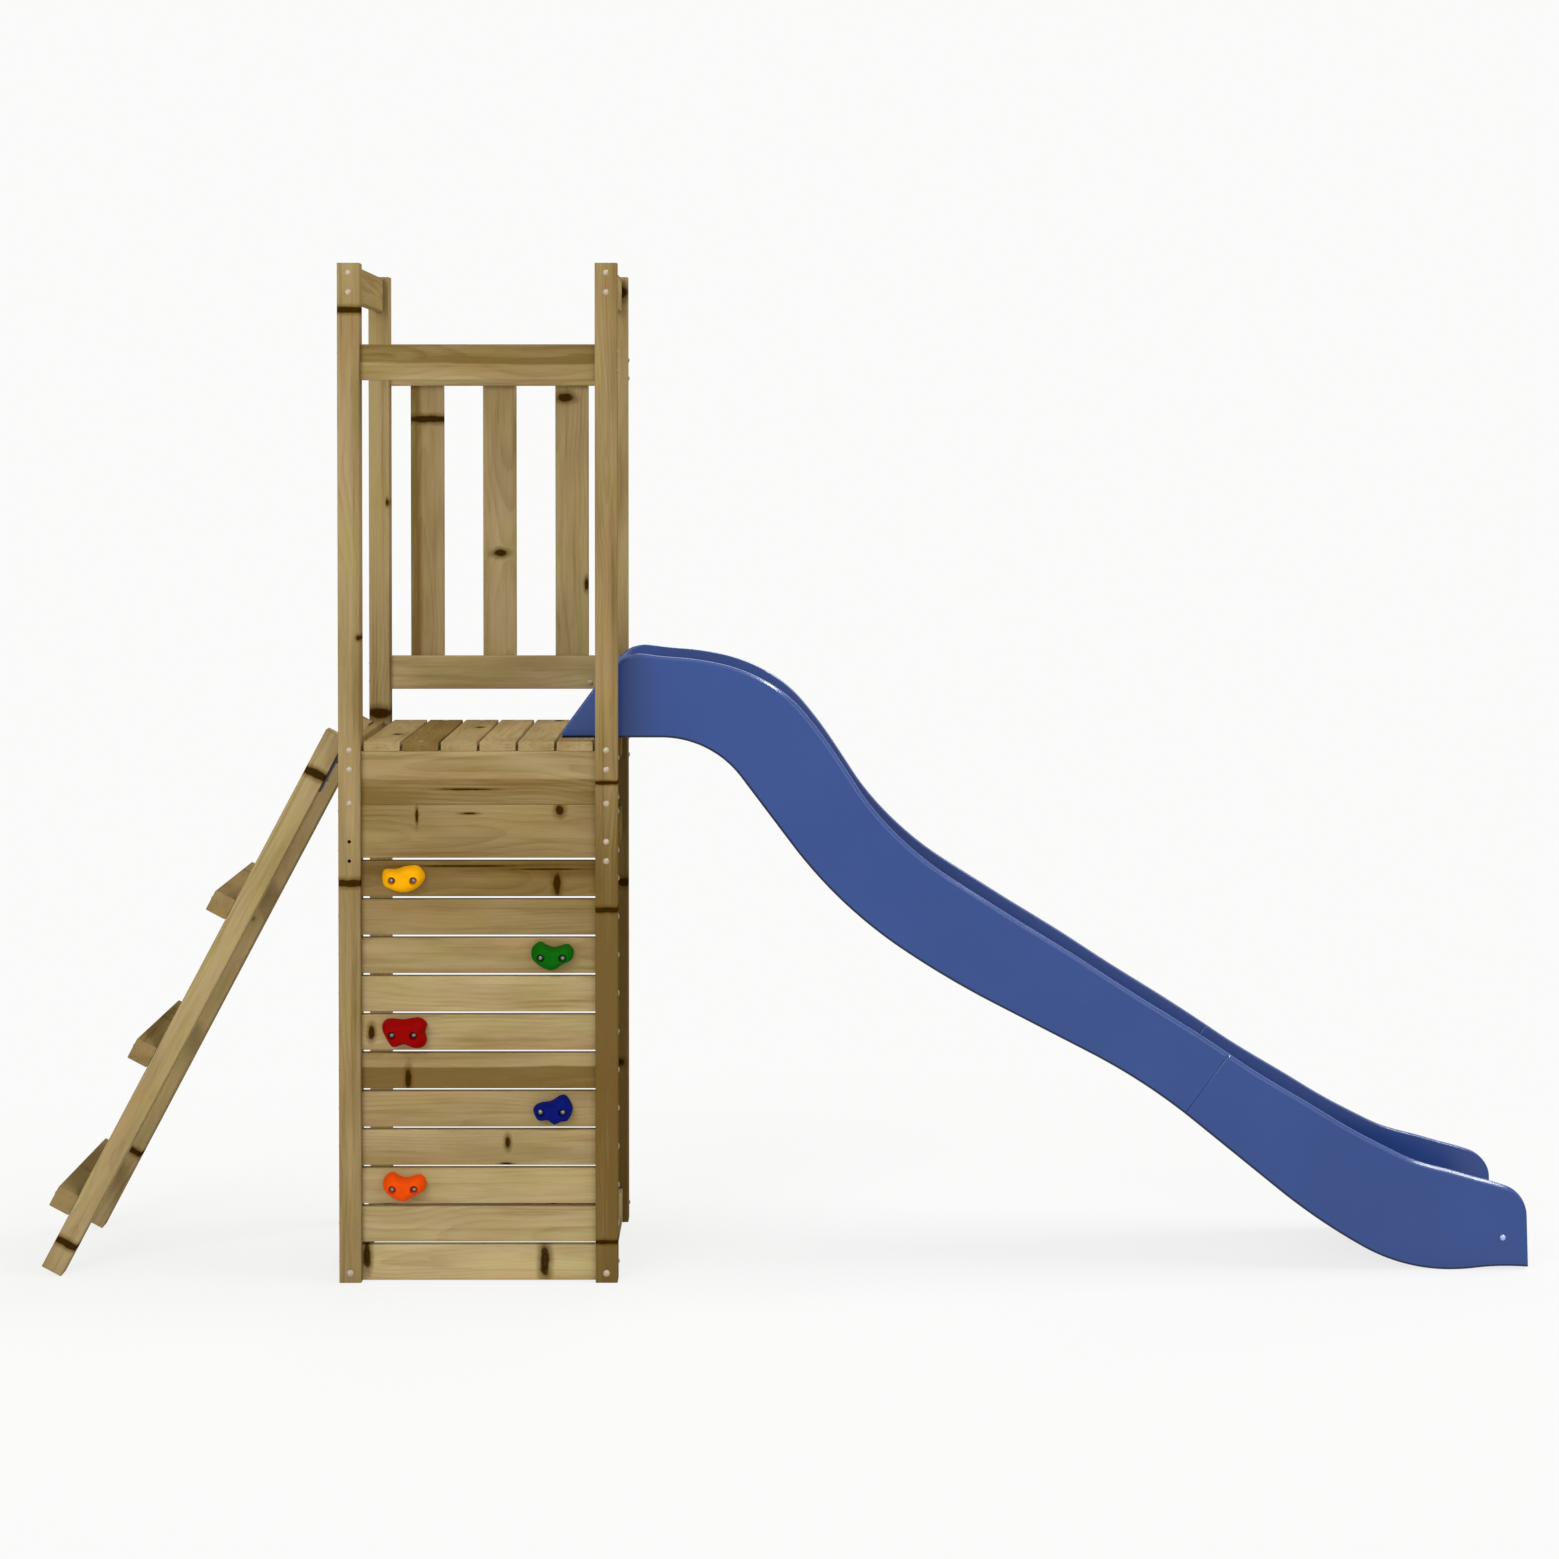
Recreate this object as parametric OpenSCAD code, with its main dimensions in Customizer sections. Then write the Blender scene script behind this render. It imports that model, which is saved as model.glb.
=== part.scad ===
/* [Tower] */
// Width of the tower across its posts, from the ladder side to the slide side
tower_w = 530; // [500:5:640]
// Depth of the tower across its posts, front to back
tower_d = 465; // [445:5:560]
// Height of the posts
tower_h = 1940; // [1860:10:2200]
// Side of the square section of posts, stringers and treads
post_s = 42; // [38:1:48]
// Radius of the eased edges of all timber
edge_r = 2.5; // [1:0.5:4]

/* [Boards] */
// Width of the boards and rails
board_w = 68; // [62:1:74]
// Thickness of the boards and rails
board_t = 18; // [16:1:22]
// Width of the two wide front boards
wide_board_w = 102; // [94:1:112]
// Gap between neighbouring boards
board_gap = 5.4; // [4:0.2:8]
// Height of the lowest boards and rails above the ground
board_foot = 2; // [1:0.5:5]
// Number of climbing boards
climbing_count = 11; // [9:1:12]
// Number of deck boards
deck_count = 6; // [5:1:7]
// Gap between the end of a board and the post that it butts against
fit_gap = 0.4; // [0.2:0.1:0.8]

/* [Guard] */
// Drop of the guard rails' upper edge below the post tops
guard_drop = 153.6; // [120:0.2:260]
// Clear height under the back lower rail
lower_rail_clear = 65; // [50:1:90]
// Number of balusters
baluster_count = 3; // [2:1:4]
// Drop of the top rails below the post tops
top_rail_drop = 3; // [1:0.5:10]
// Drop of the right lower rail's middle below the deck
lower_rail_drop = 208; // [200:1:240]
// Drop of the single post screws below the deck
lone_screw_drop = 117; // [114:1:120]

/* [Ladder] */
// Lean of the ladder from the vertical
ladder_lean = 28; // [22:1:32]
// Number of treads
tread_count = 3; // [2:1:3]
// Pitch of the treads along the stringers
tread_pitch = 322; // [280:2:330]
// Distance from the foot to the lowest tread along the stringers
tread_foot = 111; // [90:1:150]
// Gap between the ladder and the posts at each side
ladder_gap = 1.5; // [0.5:0.5:6]
// Thickness of the ladder brackets
bracket_t = 4; // [3:0.5:5]
// Width of the ladder brackets
bracket_w = 30; // [20:1:38]
// Length of the bracket leg on the stringer
bracket_leg = 112; // [90:1:140]

/* [Holds] */
// Width of a climbing hold
hold_w = 82; // [70:1:100]
// Height of a climbing hold
hold_h = 55; // [50:1:60]
// How far a climbing hold stands out from its board
hold_depth = 34; // [26:1:40]
// Distance of the holds' middles from the posts
hold_inset = 82; // [70:1:120]
// Distance between the two bolts of a hold
hold_bolt_pitch = 41; // [36:1:46]

/* [Slide] */
// Outer width of the slide
slide_w = 300; // [270:5:340]
// Typical height of the side walls, square to the bed
wall_h = 165; // [140:5:180]
// Thickness of the moulded skin
skin_t = 5; // [4:0.5:6]
// Radius of the rounded rim of the side walls
rim_r = 9; // [8:0.5:12]
// Height of the bed above the lower edges of the skirts
bed_rise = 24; // [22:1:30]
// Radius between the bed and the side walls
bed_fillet = 40; // [25:1:50]
// Length of the tongue inside the tower's outer face
tongue_len = 110; // [105:1:118]
// Radius of the upper corner of the walls at the exit
exit_corner_r = 40; // [28:1:60]

/* [Fasteners] */
// Radius of a wood screw's shank
screw_r = 2.5; // [2:0.25:3]
// Radius of a screw's pan head
screw_head_r = 5.8; // [5:0.2:6.4]
// Height of a screw's pan head
screw_head_h = 3; // [2:0.5:4]
// Distance between the two screws of a rail end
screw_pair = 37; // [34:1:40]
// Length of the screws through the posts into the side rails
frame_screw_len = 80; // [70:1:90]
// Length of the screws through the posts into the boards
board_screw_len = 70; // [62:1:74]
// Radius of the hold bolts and slide bolts
bolt_r = 4; // [3:0.25:4.5]
// Radius of the spare holes in the front left post
spare_hole_r = 3.5; // [2.5:0.25:4.5]
// Radial clearance of every screw and bolt in its hole
hole_clear = 0.3; // [0.2:0.05:0.5]

/* [Hidden] */
$fn = 32;
overrun = 1;
seat_gap = 0.2;
half_turn = 180;
wood_light = [0.66, 0.57, 0.38];
wood_mid = [0.60, 0.50, 0.31];
wood_dark = [0.53, 0.43, 0.25];
slide_blue = [0.20, 0.29, 0.53];
steel_grey = [0.76, 0.72, 0.66];
bracket_dark = [0.16, 0.14, 0.11];

// Heights that follow from the stack of boards under the deck
board_pitch = board_w + board_gap;
wide_foot = board_foot + climbing_count * board_pitch;
deck_under = wide_foot + 2 * wide_board_w;
deck_top = deck_under + board_t;
guard_z = tower_h - guard_drop - board_w / 2;
back_lower_z = deck_top + lower_rail_clear + board_w / 2;
top_rail_z = tower_h - top_rail_drop - board_w / 2;
deck_rail_z = deck_top - board_w / 2;
lower_rail_z = deck_top - lower_rail_drop;
bottom_rail_z = board_foot + board_w / 2;
ledger_z = deck_under - board_w / 2;
lone_screw_z = deck_top - lone_screw_drop;

// Places of the posts and of the boards between them
post_x = (tower_w - post_s) / 2;
front_y = post_s / 2;
back_y = tower_d - post_s / 2;
board_len = tower_w - 2 * post_s - 2 * fit_gap;
rail_len = tower_d - 2 * post_s - 2 * fit_gap;
clear_w = tower_w - 2 * post_s;
board_face_y = front_y - board_t / 2;
hold_x = clear_w / 2 - hold_inset;
deck_board_w = (clear_w - (deck_count + 1) * board_gap) / deck_count;
deck_len = back_y - front_y + board_t;
baluster_y = back_y + board_t;
baluster_pitch = clear_w / baluster_count;
baluster_inset_share = 0.15;
baluster_inset = board_w * baluster_inset_share;
baluster_foot = back_lower_z - board_w / 2 + baluster_inset;
baluster_top = guard_z + board_w / 2 - baluster_inset;

// Fasteners
wide_pair_share = 0.73;
wide_pair = wide_board_w * wide_pair_share;
bottom_bolt_share = 0.24;
bottom_bolt_z = board_foot + board_w * bottom_bolt_share;
bottom_head_share = 1.12;
bottom_head_r = screw_head_r * bottom_head_share;
lone_screw_share = 0.8;
lone_screw_len = post_s * lone_screw_share;
deck_screw_share = 2.2;
deck_screw_len = board_t * deck_screw_share;
baluster_screw_share = 1.8;
baluster_screw_len = board_t * baluster_screw_share;
tip_share = 2;
tip_len = screw_r * tip_share;

// Ladder
ladder_len = deck_top / cos(ladder_lean);
ladder_w = tower_d - 2 * post_s - 2 * ladder_gap;
rail_face_x = -post_x - board_t / 2;
ladder_top_x = rail_face_x - bracket_t - 2 * seat_gap;
ladder_foot_x = ladder_top_x - ladder_len * sin(ladder_lean);
stringer_y = [post_s + ladder_gap + post_s / 2, tower_d - post_s - ladder_gap - post_s / 2];
tread_screw_share = 1.7;
tread_screw_len = post_s * tread_screw_share;
bracket_screw_share = 0.8;
bracket_screw_len = board_t * bracket_screw_share;
bracket_rail_share = 0.72;
bracket_rail_leg = board_w * bracket_rail_share;
bracket_screw_place_shares = [0.45, 0.8];

// Climbing holds: outlines as shares of half the width and half the height
yellow_shares = [[-0.94, 0.65], [-0.40, 0.72], [0.10, 0.95], [0.67, 0.95], [0.97, 0.19],
    [0.67, -0.60], [0.04, -0.98], [-0.62, -0.74], [-0.97, -0.33]];
lobed_shares = [[-0.59, 0.97], [-0.25, 0.75], [0.12, 0.60], [0.72, 0.80], [0.98, 0.36], [0.91, -0.25],
    [0.47, -0.60], [0.03, -0.98], [-0.47, -0.78], [-0.94, -0.21], [-0.95, 0.53]];
red_shares = [[-0.96, 0.39], [-0.73, 0.88], [0.00, 0.86], [0.63, 0.98], [0.97, 0.59], [0.90, 0.06],
    [0.97, -0.47], [0.83, -0.88], [0.48, -0.96], [0.02, -0.71], [-0.47, -0.90], [-0.76, -0.39]];
blue_shares = [[-0.95, 0.00], [-0.66, 0.42], [-0.07, 0.58], [0.36, 0.93], [0.69, 0.89], [0.98, 0.09],
    [0.79, -0.67], [0.43, -0.80], [0.10, -0.98], [-0.26, -0.67], [-0.72, -0.67]];
hold_size_shares = [[1.00, 0.93], [0.99, 1.01], [1.08, 1.08], [0.95, 1.03], [1.01, 1.02]];
hold_steps = 4;
hold_rings = 6;
hold_top_angle = 72;
hold_swell = 0.62;
hold_seat_share = 0.72;
hold_seat = hold_depth * hold_seat_share;
bolt_head_share = 1.5;
bolt_head_r = bolt_r * bolt_head_share;
counterbore_share = 1.3;
counterbore_r = bolt_head_r * counterbore_share;
nut_share = 1.8;
nut_h = bolt_r;
hold_bolt_len = hold_seat + 2 * seat_gap + board_t + 2 * nut_h;

// Slide: each leg of the lower edge has a share of its length and a turn in degrees
leg_shares = [0.086, 0.080, 0.074, 0.133, 0.093, 0.093, 0.109, 0.095, 0.090, 0.079, 0.022, 0.026, 0.020];
leg_turns = [0, -53, 0, 19, 6.7, 0, -11.8, 0, 9.8, 29.3, 7, -7, -4];
leg_count = len(leg_shares);
lowest_leg = 10;
exit_lean = 3;
exit_lean_share = 0.90;
wall_shares = [1.13, 0.955, 1.065, 1.01, 1.005, 1.01, 0.945, 0.845, 0.88, 1.03, 1.15, 1.18, 0.90];
section_window_share = 0.03;
seam_share = 0.658;
ramp_slope = 1.35;
ramp_soft_share = 0.26;
tip_wall_share = 2.8;
tip_wall_h = skin_t * tip_wall_share;
tip_rim_share = 1.2;
tip_rim_r = skin_t * tip_rim_share;
tip_bed_share = 1.1;
tip_bed = skin_t * tip_bed_share;
tongue_flat_share = 0.41;
tongue_flat = tongue_len * tongue_flat_share;
bed_ramp_share = 0.6;
bed_ramp = tongue_len * bed_ramp_share;
fillet_room_share = 0.75;
seam_gap = 0.6;
bulkhead_step = 1;
foot_step = 0.3;
foot_arch = 2;
rim_steps = 6;
fillet_steps = 3;
slide_half = slide_w / 2;
slide_y = tower_d / 2;
slide_x = tower_w / 2 - tongue_len;
tongue_screw_share = 0.55;
tongue_screw_x = tongue_flat * tongue_screw_share;
tongue_screw_y_share = 0.5;
tongue_screw_y = slide_half * tongue_screw_y_share;
tongue_bite_share = 0.75;
tongue_screw_len = tip_bed + board_t * tongue_bite_share;
foot_bolt_inset_share = 0.29;
foot_bolt_inset = wall_h * foot_bolt_inset_share;
foot_bolt_up_share = 0.34;
foot_bolt_up = wall_h * foot_bolt_up_share;
seam_bolt_y_share = 0.4;
seam_bolt_y = slide_half * seam_bolt_y_share;
seam_bolt_up = (bed_rise - skin_t) / 2;
seam_bolt_head_share = 0.8;
seam_bolt_r = seam_bolt_up * seam_bolt_head_share / nut_share;
seam_seat = skin_t + bulkhead_step + seam_gap / 2;

// Unit path of the slide's lower edge: place and heading after a stretch of one leg
function leg_move(start, share, turn, along) = turn == 0
    ? [start[0] + along * cos(start[2]), start[1] + along * sin(start[2]), start[2]]
    : let (bend = share * half_turn / PI / turn, now = start[2] + turn * along / share)
        [start[0] + bend * (sin(now) - sin(start[2])), start[1] + bend * (cos(start[2]) - cos(now)), now];
function leg_start(i) = i == 0 ? [0, 0, 0]
    : leg_move(leg_start(i - 1), leg_shares[i - 1], leg_turns[i - 1], leg_shares[i - 1]);
function leg_sum(i) = i == 0 ? 0 : leg_sum(i - 1) + leg_shares[i - 1];
leg_starts = [for (i = [0 : leg_count - 1]) leg_start(i)];
leg_sums = [for (i = [0 : leg_count - 1]) leg_sum(i)];
slide_len = -deck_top / leg_starts[lowest_leg][1];
function path_at(s) = let (i = max([for (k = [0 : leg_count - 1]) if (leg_sums[k] <= s) k]))
    leg_move(leg_starts[i], leg_shares[i], leg_turns[i], s - leg_sums[i]);
function wall_turn(s) = exit_lean * ease((s - exit_lean_share) / (1 - exit_lean_share));
// The sections turn with the heading averaged over five places, so the rim stays smooth
function section_places(s) = [for (k = [-2 : 2]) min(max(s + k * section_window_share, 0), 1)];
function section_angle(s) = mean([for (place = section_places(s)) path_at(place)[2]]) + wall_turn(s);
function mean(list, i = 0, sum = 0) = i == len(list) ? sum / len(list) : mean(list, i + 1, sum + list[i]);
// A point of the slide: share s of its length, distance v across and w up the wall
function slide_point(s, v, w) = let (p = path_at(s), a = section_angle(s))
    [slide_x + slide_len * p[0] - w * sin(a), slide_y + v, deck_top + slide_len * p[1] + w * cos(a)];
function ease(t) = let (c = min(max(t, 0), 1)) c * c * (3 - 2 * c);
function mix(a, b, t) = a + (b - a) * t;
function soft_min(a, b, k) = let (h = max(k - abs(a - b), 0)) min(a, b) - h * h / (4 * k);
// Wall height along the slide: the ramp at the tongue, the moulded wave and the exit corner
wall_steps = len(wall_shares) - 1;
function wall_share(i) = wall_shares[min(max(i, 0), wall_steps)];
function plain_wall(s) = let (i = min(floor(s * wall_steps), wall_steps - 1)) wall_h
    * bend_point(wall_share(i - 1), wall_share(i), wall_share(i + 1), wall_share(i + 2), s * wall_steps - i);
function corner_cut(left) = left >= exit_corner_r ? 0
    : exit_corner_r - sqrt(exit_corner_r * exit_corner_r - pow(exit_corner_r - left, 2));
function ramp_wall(s) = tip_wall_h + ramp_slope * s * slide_len;
function wall_at(s) = soft_min(ramp_wall(s), plain_wall(s), wall_h * ramp_soft_share)
    - corner_cut((1 - s) * slide_len);
function bed_at(s) = mix(tip_bed, bed_rise, ease((s * slide_len - tongue_flat) / bed_ramp));
function rim_at(s) = mix(tip_rim_r, rim_r, ease((s * slide_len - tongue_flat) / bed_ramp));
// One side of the skin, from the skirt's foot over the rim to the bed, with its outside moved in by inset
function skin_side(s, inset) = let (h = wall_at(s), r = rim_at(s), bed = bed_at(s),
    f = min(bed_fillet, (h - r - bed) * fillet_room_share), bed_v = slide_half - 2 * r - f) concat(
    [[slide_half - inset, 0], [slide_half - inset, h - r]],
    [for (k = [1 : rim_steps]) let (a = half_turn * k / rim_steps)
        [slide_half - r + (r - inset) * cos(a), h - r + (r - inset) * sin(a)]],
    [for (k = [0 : fillet_steps]) let (a = -half_turn / 2 * k / fillet_steps)
        [bed_v + (f + inset) * cos(a), bed + f + (f + inset) * sin(a)]]);
function reversed(list) = [for (i = [len(list) - 1 : -1 : 0]) list[i]];
function both_sides(side) = concat(side, [for (p = reversed(side)) [-p[0], p[1]]]);
// The filled foot of a closed end: the inside of the skin dropped to a slightly arched line
function foot_side(side) = [for (k = [0 : len(side) - 1]) let (v = side[k][0] - k * foot_step)
    [v, foot_arch * (1 - pow(v / slide_half, 2))]];
// A station is [share, closed]: an open one is the skin, a closed one is filled down to the skirts
function station_section(station) = let (top = both_sides(skin_side(station[0], 0)))
    let (inside = skin_side(station[0], skin_t))
    concat(top, reversed(both_sides(station[1] ? foot_side(inside) : inside)));
function station_ring(station) = [for (p = station_section(station)) slide_point(station[0], p[0], p[1])];
function open_stations(a, b, count) = [for (k = [0 : count - 1]) [mix(a, b, k / count), false]];
function bulkhead(s, side) = let (near = skin_t / slide_len, step = bulkhead_step / slide_len)
    side < 0 ? [[s, true], [s + near, true], [s + near + step, false]]
        : [[s - near - step, false], [s - near, true], [s, true]];

ramp_end_share = 0.085;
bend_end_share = 0.25;
corner_steps = 6;
seam_room = 2 * skin_t / slide_len;
corner_share = exit_corner_r / slide_len;
upper_end = seam_share - seam_gap / 2 / slide_len;
lower_start = seam_share + seam_gap / 2 / slide_len;
upper_stations = concat(open_stations(0, ramp_end_share, 9),
    open_stations(ramp_end_share, bend_end_share, 10),
    open_stations(bend_end_share, upper_end - seam_room, 12), bulkhead(upper_end, 1));
lower_stations = concat(bulkhead(lower_start, -1),
    open_stations(lower_start + seam_room, 1 - corner_share, 13),
    [for (k = [0 : corner_steps - 1]) let (a = half_turn / 2 * k / corner_steps)
        [1 - corner_share * (1 - sin(a)), false]],
    bulkhead(1, 1));

// The part's origin is the middle of its box on the ground
x_min = ladder_foot_x - post_s * cos(ladder_lean);
x_max = max([for (p = station_ring([1, true])) p[0]]);
y_min = board_face_y - hold_depth - seat_gap;
y_max = baluster_y + board_t / 2 + screw_head_h + seat_gap;
home_x = -(x_min + x_max) / 2;
home_y = -(y_min + y_max) / 2;

// Screw places
function pair(z) = [z - screw_pair / 2, z + screw_pair / 2];
function climbing_z(i) = board_foot + (i - 1) * board_pitch + board_w / 2;
function wide_z(i) = wide_foot + (i - 1) * wide_board_w + wide_board_w / 2;
function wide_screws(i) = [wide_z(i) - wide_pair / 2, wide_z(i) + wide_pair / 2];
function rail_screws(side) = concat(pair(top_rail_z), pair(deck_rail_z), side > 0 ? pair(lower_rail_z) : []);
function front_screws() = concat([for (i = [1 : climbing_count]) climbing_z(i)],
    wide_screws(1), wide_screws(2), pair(guard_z));
function back_screws() = concat([bottom_rail_z], pair(ledger_z), pair(back_lower_z), pair(guard_z));
function deck_x(i) = (i - (deck_count + 1) / 2) * (deck_board_w + board_gap);
function baluster_x(i) = (i - (baluster_count + 1) / 2) * baluster_pitch;
function tread_z(i) = tread_foot + (i - 1) * tread_pitch + post_s / 2;

// Directions: the child's +Z is turned to point along X or Y
module to_x(side) { mirror([side < 0 ? 1 : 0, 0, 0]) rotate([0, 90, 0]) children(); }
module to_y(side) { mirror([0, side < 0 ? 1 : 0, 0]) rotate([-90, 0, 0]) children(); }
module at_home() { translate([home_x, home_y, 0]) children(); }

// Timber with eased edges
module timber_section(a, b) {
    square([a - 2 * edge_r, b], center = true);
    square([a, b - 2 * edge_r], center = true);
    for (x = [-1, 1]) for (y = [-1, 1])
        translate([x * (a / 2 - edge_r), y * (b / 2 - edge_r)]) circle(edge_r);
}
module timber_z(length, a, b) { linear_extrude(length) timber_section(a, b); }
module timber_x(length, high, thick) {
    rotate([0, 90, 0]) translate([0, 0, -length / 2]) timber_z(length, high, thick);
}
module timber_y(length, wide, high) {
    rotate([-90, 0, 0]) translate([0, 0, -length / 2]) timber_z(length, wide, high);
}

// Fasteners: the head seats on z = 0 and the shank runs along +Z
module pan_head(r, h) {
    dome_r = (r * r + h * h) / (2 * h);
    translate([0, 0, -seat_gap]) mirror([0, 0, 1]) rotate_extrude() intersection() {
        translate([0, h - dome_r]) circle(dome_r, $fn = 64);
        square([r, h]);
    }
}
module shank(r, length) {
    into_head = seat_gap + screw_head_h / 2;
    translate([0, 0, -into_head]) cylinder(r = r, h = length - tip_len + into_head);
    translate([0, 0, length - tip_len]) cylinder(r1 = r, r2 = 0, h = tip_len);
}
module wood_screw(length, head_r = screw_head_r) {
    pan_head(head_r, screw_head_h);
    shank(screw_r, length);
}
module flush_screw(length) {
    cylinder(r1 = screw_head_r - hole_clear, r2 = screw_r, h = screw_head_h);
    translate([0, 0, screw_head_h]) cylinder(r = screw_r, h = length - tip_len - screw_head_h);
    translate([0, 0, length - tip_len]) cylinder(r1 = screw_r, r2 = 0, h = tip_len);
}
module screw_hole(length) {
    translate([0, 0, -overrun]) cylinder(r = screw_r + hole_clear, h = length + 2 * overrun);
}
module flush_hole(length) {
    screw_hole(length);
    cylinder(r1 = screw_head_r, r2 = screw_r + hole_clear, h = screw_head_h);
    translate([0, 0, -overrun]) cylinder(r = screw_head_r, h = overrun);
}
module plain_bolt(r, length) {
    pan_head(r * bolt_head_share, r);
    translate([0, 0, -seat_gap - r / 2]) cylinder(r = r, h = length + seat_gap + r / 2);
}
module nut(r) {
    difference() {
        cylinder(r = r * nut_share, h = r, $fn = 6);
        translate([0, 0, -overrun]) cylinder(r = r + hole_clear, h = r + 2 * overrun);
    }
}

// Where the fasteners of the tower go
module at_rail_screws(side, end) {
    for (z = rail_screws(side))
        translate([side * post_x, end < 0 ? 0 : tower_d, z]) to_y(-end) children();
}
module at_bottom_bolt(side, end) {
    translate([side * post_x, end < 0 ? 0 : tower_d, bottom_bolt_z]) to_y(-end) children();
}
module at_lone_screw(side) { translate([side * post_x, 0, lone_screw_z]) to_y(1) children(); }
module at_board_screws(side, y, heights) {
    for (z = heights) translate([side * tower_w / 2, y, z]) to_x(-side) children();
}
module at_deck_screws(i) {
    for (y = [front_y, back_y]) translate([deck_x(i), y, deck_top]) mirror([0, 0, 1]) children();
}
module at_baluster_screws(i) {
    for (z = concat(pair(guard_z), pair(back_lower_z)))
        translate([baluster_x(i), baluster_y + board_t / 2, z]) to_y(-1) children();
}
module at_tongue_screws() {
    for (y = [slide_y - tongue_screw_y, slide_y + tongue_screw_y])
        translate([slide_x + tongue_screw_x, y, deck_top + tip_bed]) mirror([0, 0, 1]) children();
}

// Tower
module post(side, end, tint) {
    color(tint) at_home() difference() {
        translate([side * post_x, end < 0 ? front_y : back_y, 0]) timber_z(tower_h, post_s, post_s);
        at_rail_screws(side, end) screw_hole(post_s);
        at_bottom_bolt(side, end) screw_hole(post_s);
        at_board_screws(side, end < 0 ? front_y : back_y, end < 0 ? front_screws() : back_screws())
            screw_hole(post_s);
        if (end < 0) at_lone_screw(side) screw_hole(lone_screw_len);
        if (end < 0 && side < 0) for (z = pair(lower_rail_z)) translate([side * post_x, 0, z]) to_y(1)
            translate([0, 0, -overrun]) cylinder(r = spare_hole_r, h = post_s + 2 * overrun);
    }
}
module cross_board(y, z, high, screws, tint) {
    color(tint) at_home() difference() {
        translate([0, y, z]) timber_x(board_len, high, board_t);
        for (side = [-1, 1]) at_board_screws(side, y, screws) screw_hole(board_screw_len);
        children();
    }
}
module climbing_board(i) {
    cross_board(front_y, climbing_z(i), board_w, [climbing_z(i)], i % 3 == 0 ? wood_dark : wood_light) {
        for (h = [1 : hold_count]) if (hold_board(h) == i) at_hold(h) hold_bolt_holes();
    }
}
module front_board(i) {
    cross_board(front_y, wide_z(i), wide_board_w, wide_screws(i), wood_mid) {
        if (i == 2) for (d = [1 : deck_count]) at_deck_screws(d) screw_hole(deck_screw_len);
    }
}
module deck_ledger() {
    cross_board(back_y, ledger_z, board_w, pair(ledger_z), wood_mid) {
        for (d = [1 : deck_count]) at_deck_screws(d) screw_hole(deck_screw_len);
    }
}
module back_bottom_rail() { cross_board(back_y, bottom_rail_z, board_w, [bottom_rail_z], wood_mid); }
module front_guard_rail() { cross_board(front_y, guard_z, board_w, pair(guard_z), wood_mid); }
module back_rail(z) {
    cross_board(back_y, z, board_w, pair(z), wood_mid) {
        for (i = [1 : baluster_count]) at_baluster_screws(i) screw_hole(baluster_screw_len);
    }
}
module deck_board(i) {
    color(i % 2 == 0 ? wood_light : wood_mid) at_home() difference() {
        translate([deck_x(i), tower_d / 2, deck_top - board_t / 2]) timber_y(deck_len, deck_board_w, board_t);
        at_deck_screws(i) flush_hole(deck_screw_len);
        if (i == deck_count) at_tongue_screws() screw_hole(tongue_screw_len);
    }
}
module side_rail(side, z) {
    color(wood_mid) at_home() difference() {
        translate([side * post_x, tower_d / 2, z]) timber_y(rail_len, board_t, board_w);
        for (end = [-1, 1]) {
            at_rail_screws(side, end) screw_hole(frame_screw_len);
            at_bottom_bolt(side, end) screw_hole(frame_screw_len);
        }
        if (side < 0) at_brackets() at_rail_bracket_screw() screw_hole(bracket_screw_len);
    }
}
module baluster(i) {
    color(wood_light) at_home() difference() {
        translate([baluster_x(i), baluster_y, baluster_foot])
            timber_z(baluster_top - baluster_foot, board_w, board_t);
        at_baluster_screws(i) screw_hole(baluster_screw_len);
    }
}

// Ladder: x = 0 is the stringers' back face, z runs up the ladder
module on_ladder() { translate([ladder_foot_x, 0, 0]) rotate([0, ladder_lean, 0]) children(); }
module at_tread_screws() {
    for (i = [1 : tread_count]) for (y = stringer_y)
        translate([-2 * post_s - seat_gap, y, tread_z(i)]) to_x(1) children();
}
module at_brackets() { for (y = stringer_y) translate([0, y, 0]) children(); }
module at_rail_bracket_screw() { translate([rail_face_x - bracket_t, 0, deck_rail_z]) to_x(1) children(); }
module at_stringer_bracket_screws() {
    for (share = bracket_screw_place_shares)
        translate([bracket_t + seat_gap, 0, ladder_len - bracket_leg * share]) to_x(-1) children();
}
module ladder_stringer(i) {
    color(wood_light) at_home() on_ladder() difference() {
        translate([-post_s / 2, stringer_y[i], 0]) timber_z(ladder_len, post_s, post_s);
        at_tread_screws() screw_hole(tread_screw_len);
        at_brackets() at_stringer_bracket_screws() screw_hole(bracket_screw_len);
    }
}
module ladder_tread(i) {
    color(wood_mid) at_home() on_ladder() difference() {
        translate([-post_s - seat_gap - post_s / 2, tower_d / 2, tread_z(i)])
            timber_y(ladder_w, post_s, post_s);
        at_tread_screws() screw_hole(tread_screw_len);
    }
}
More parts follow.
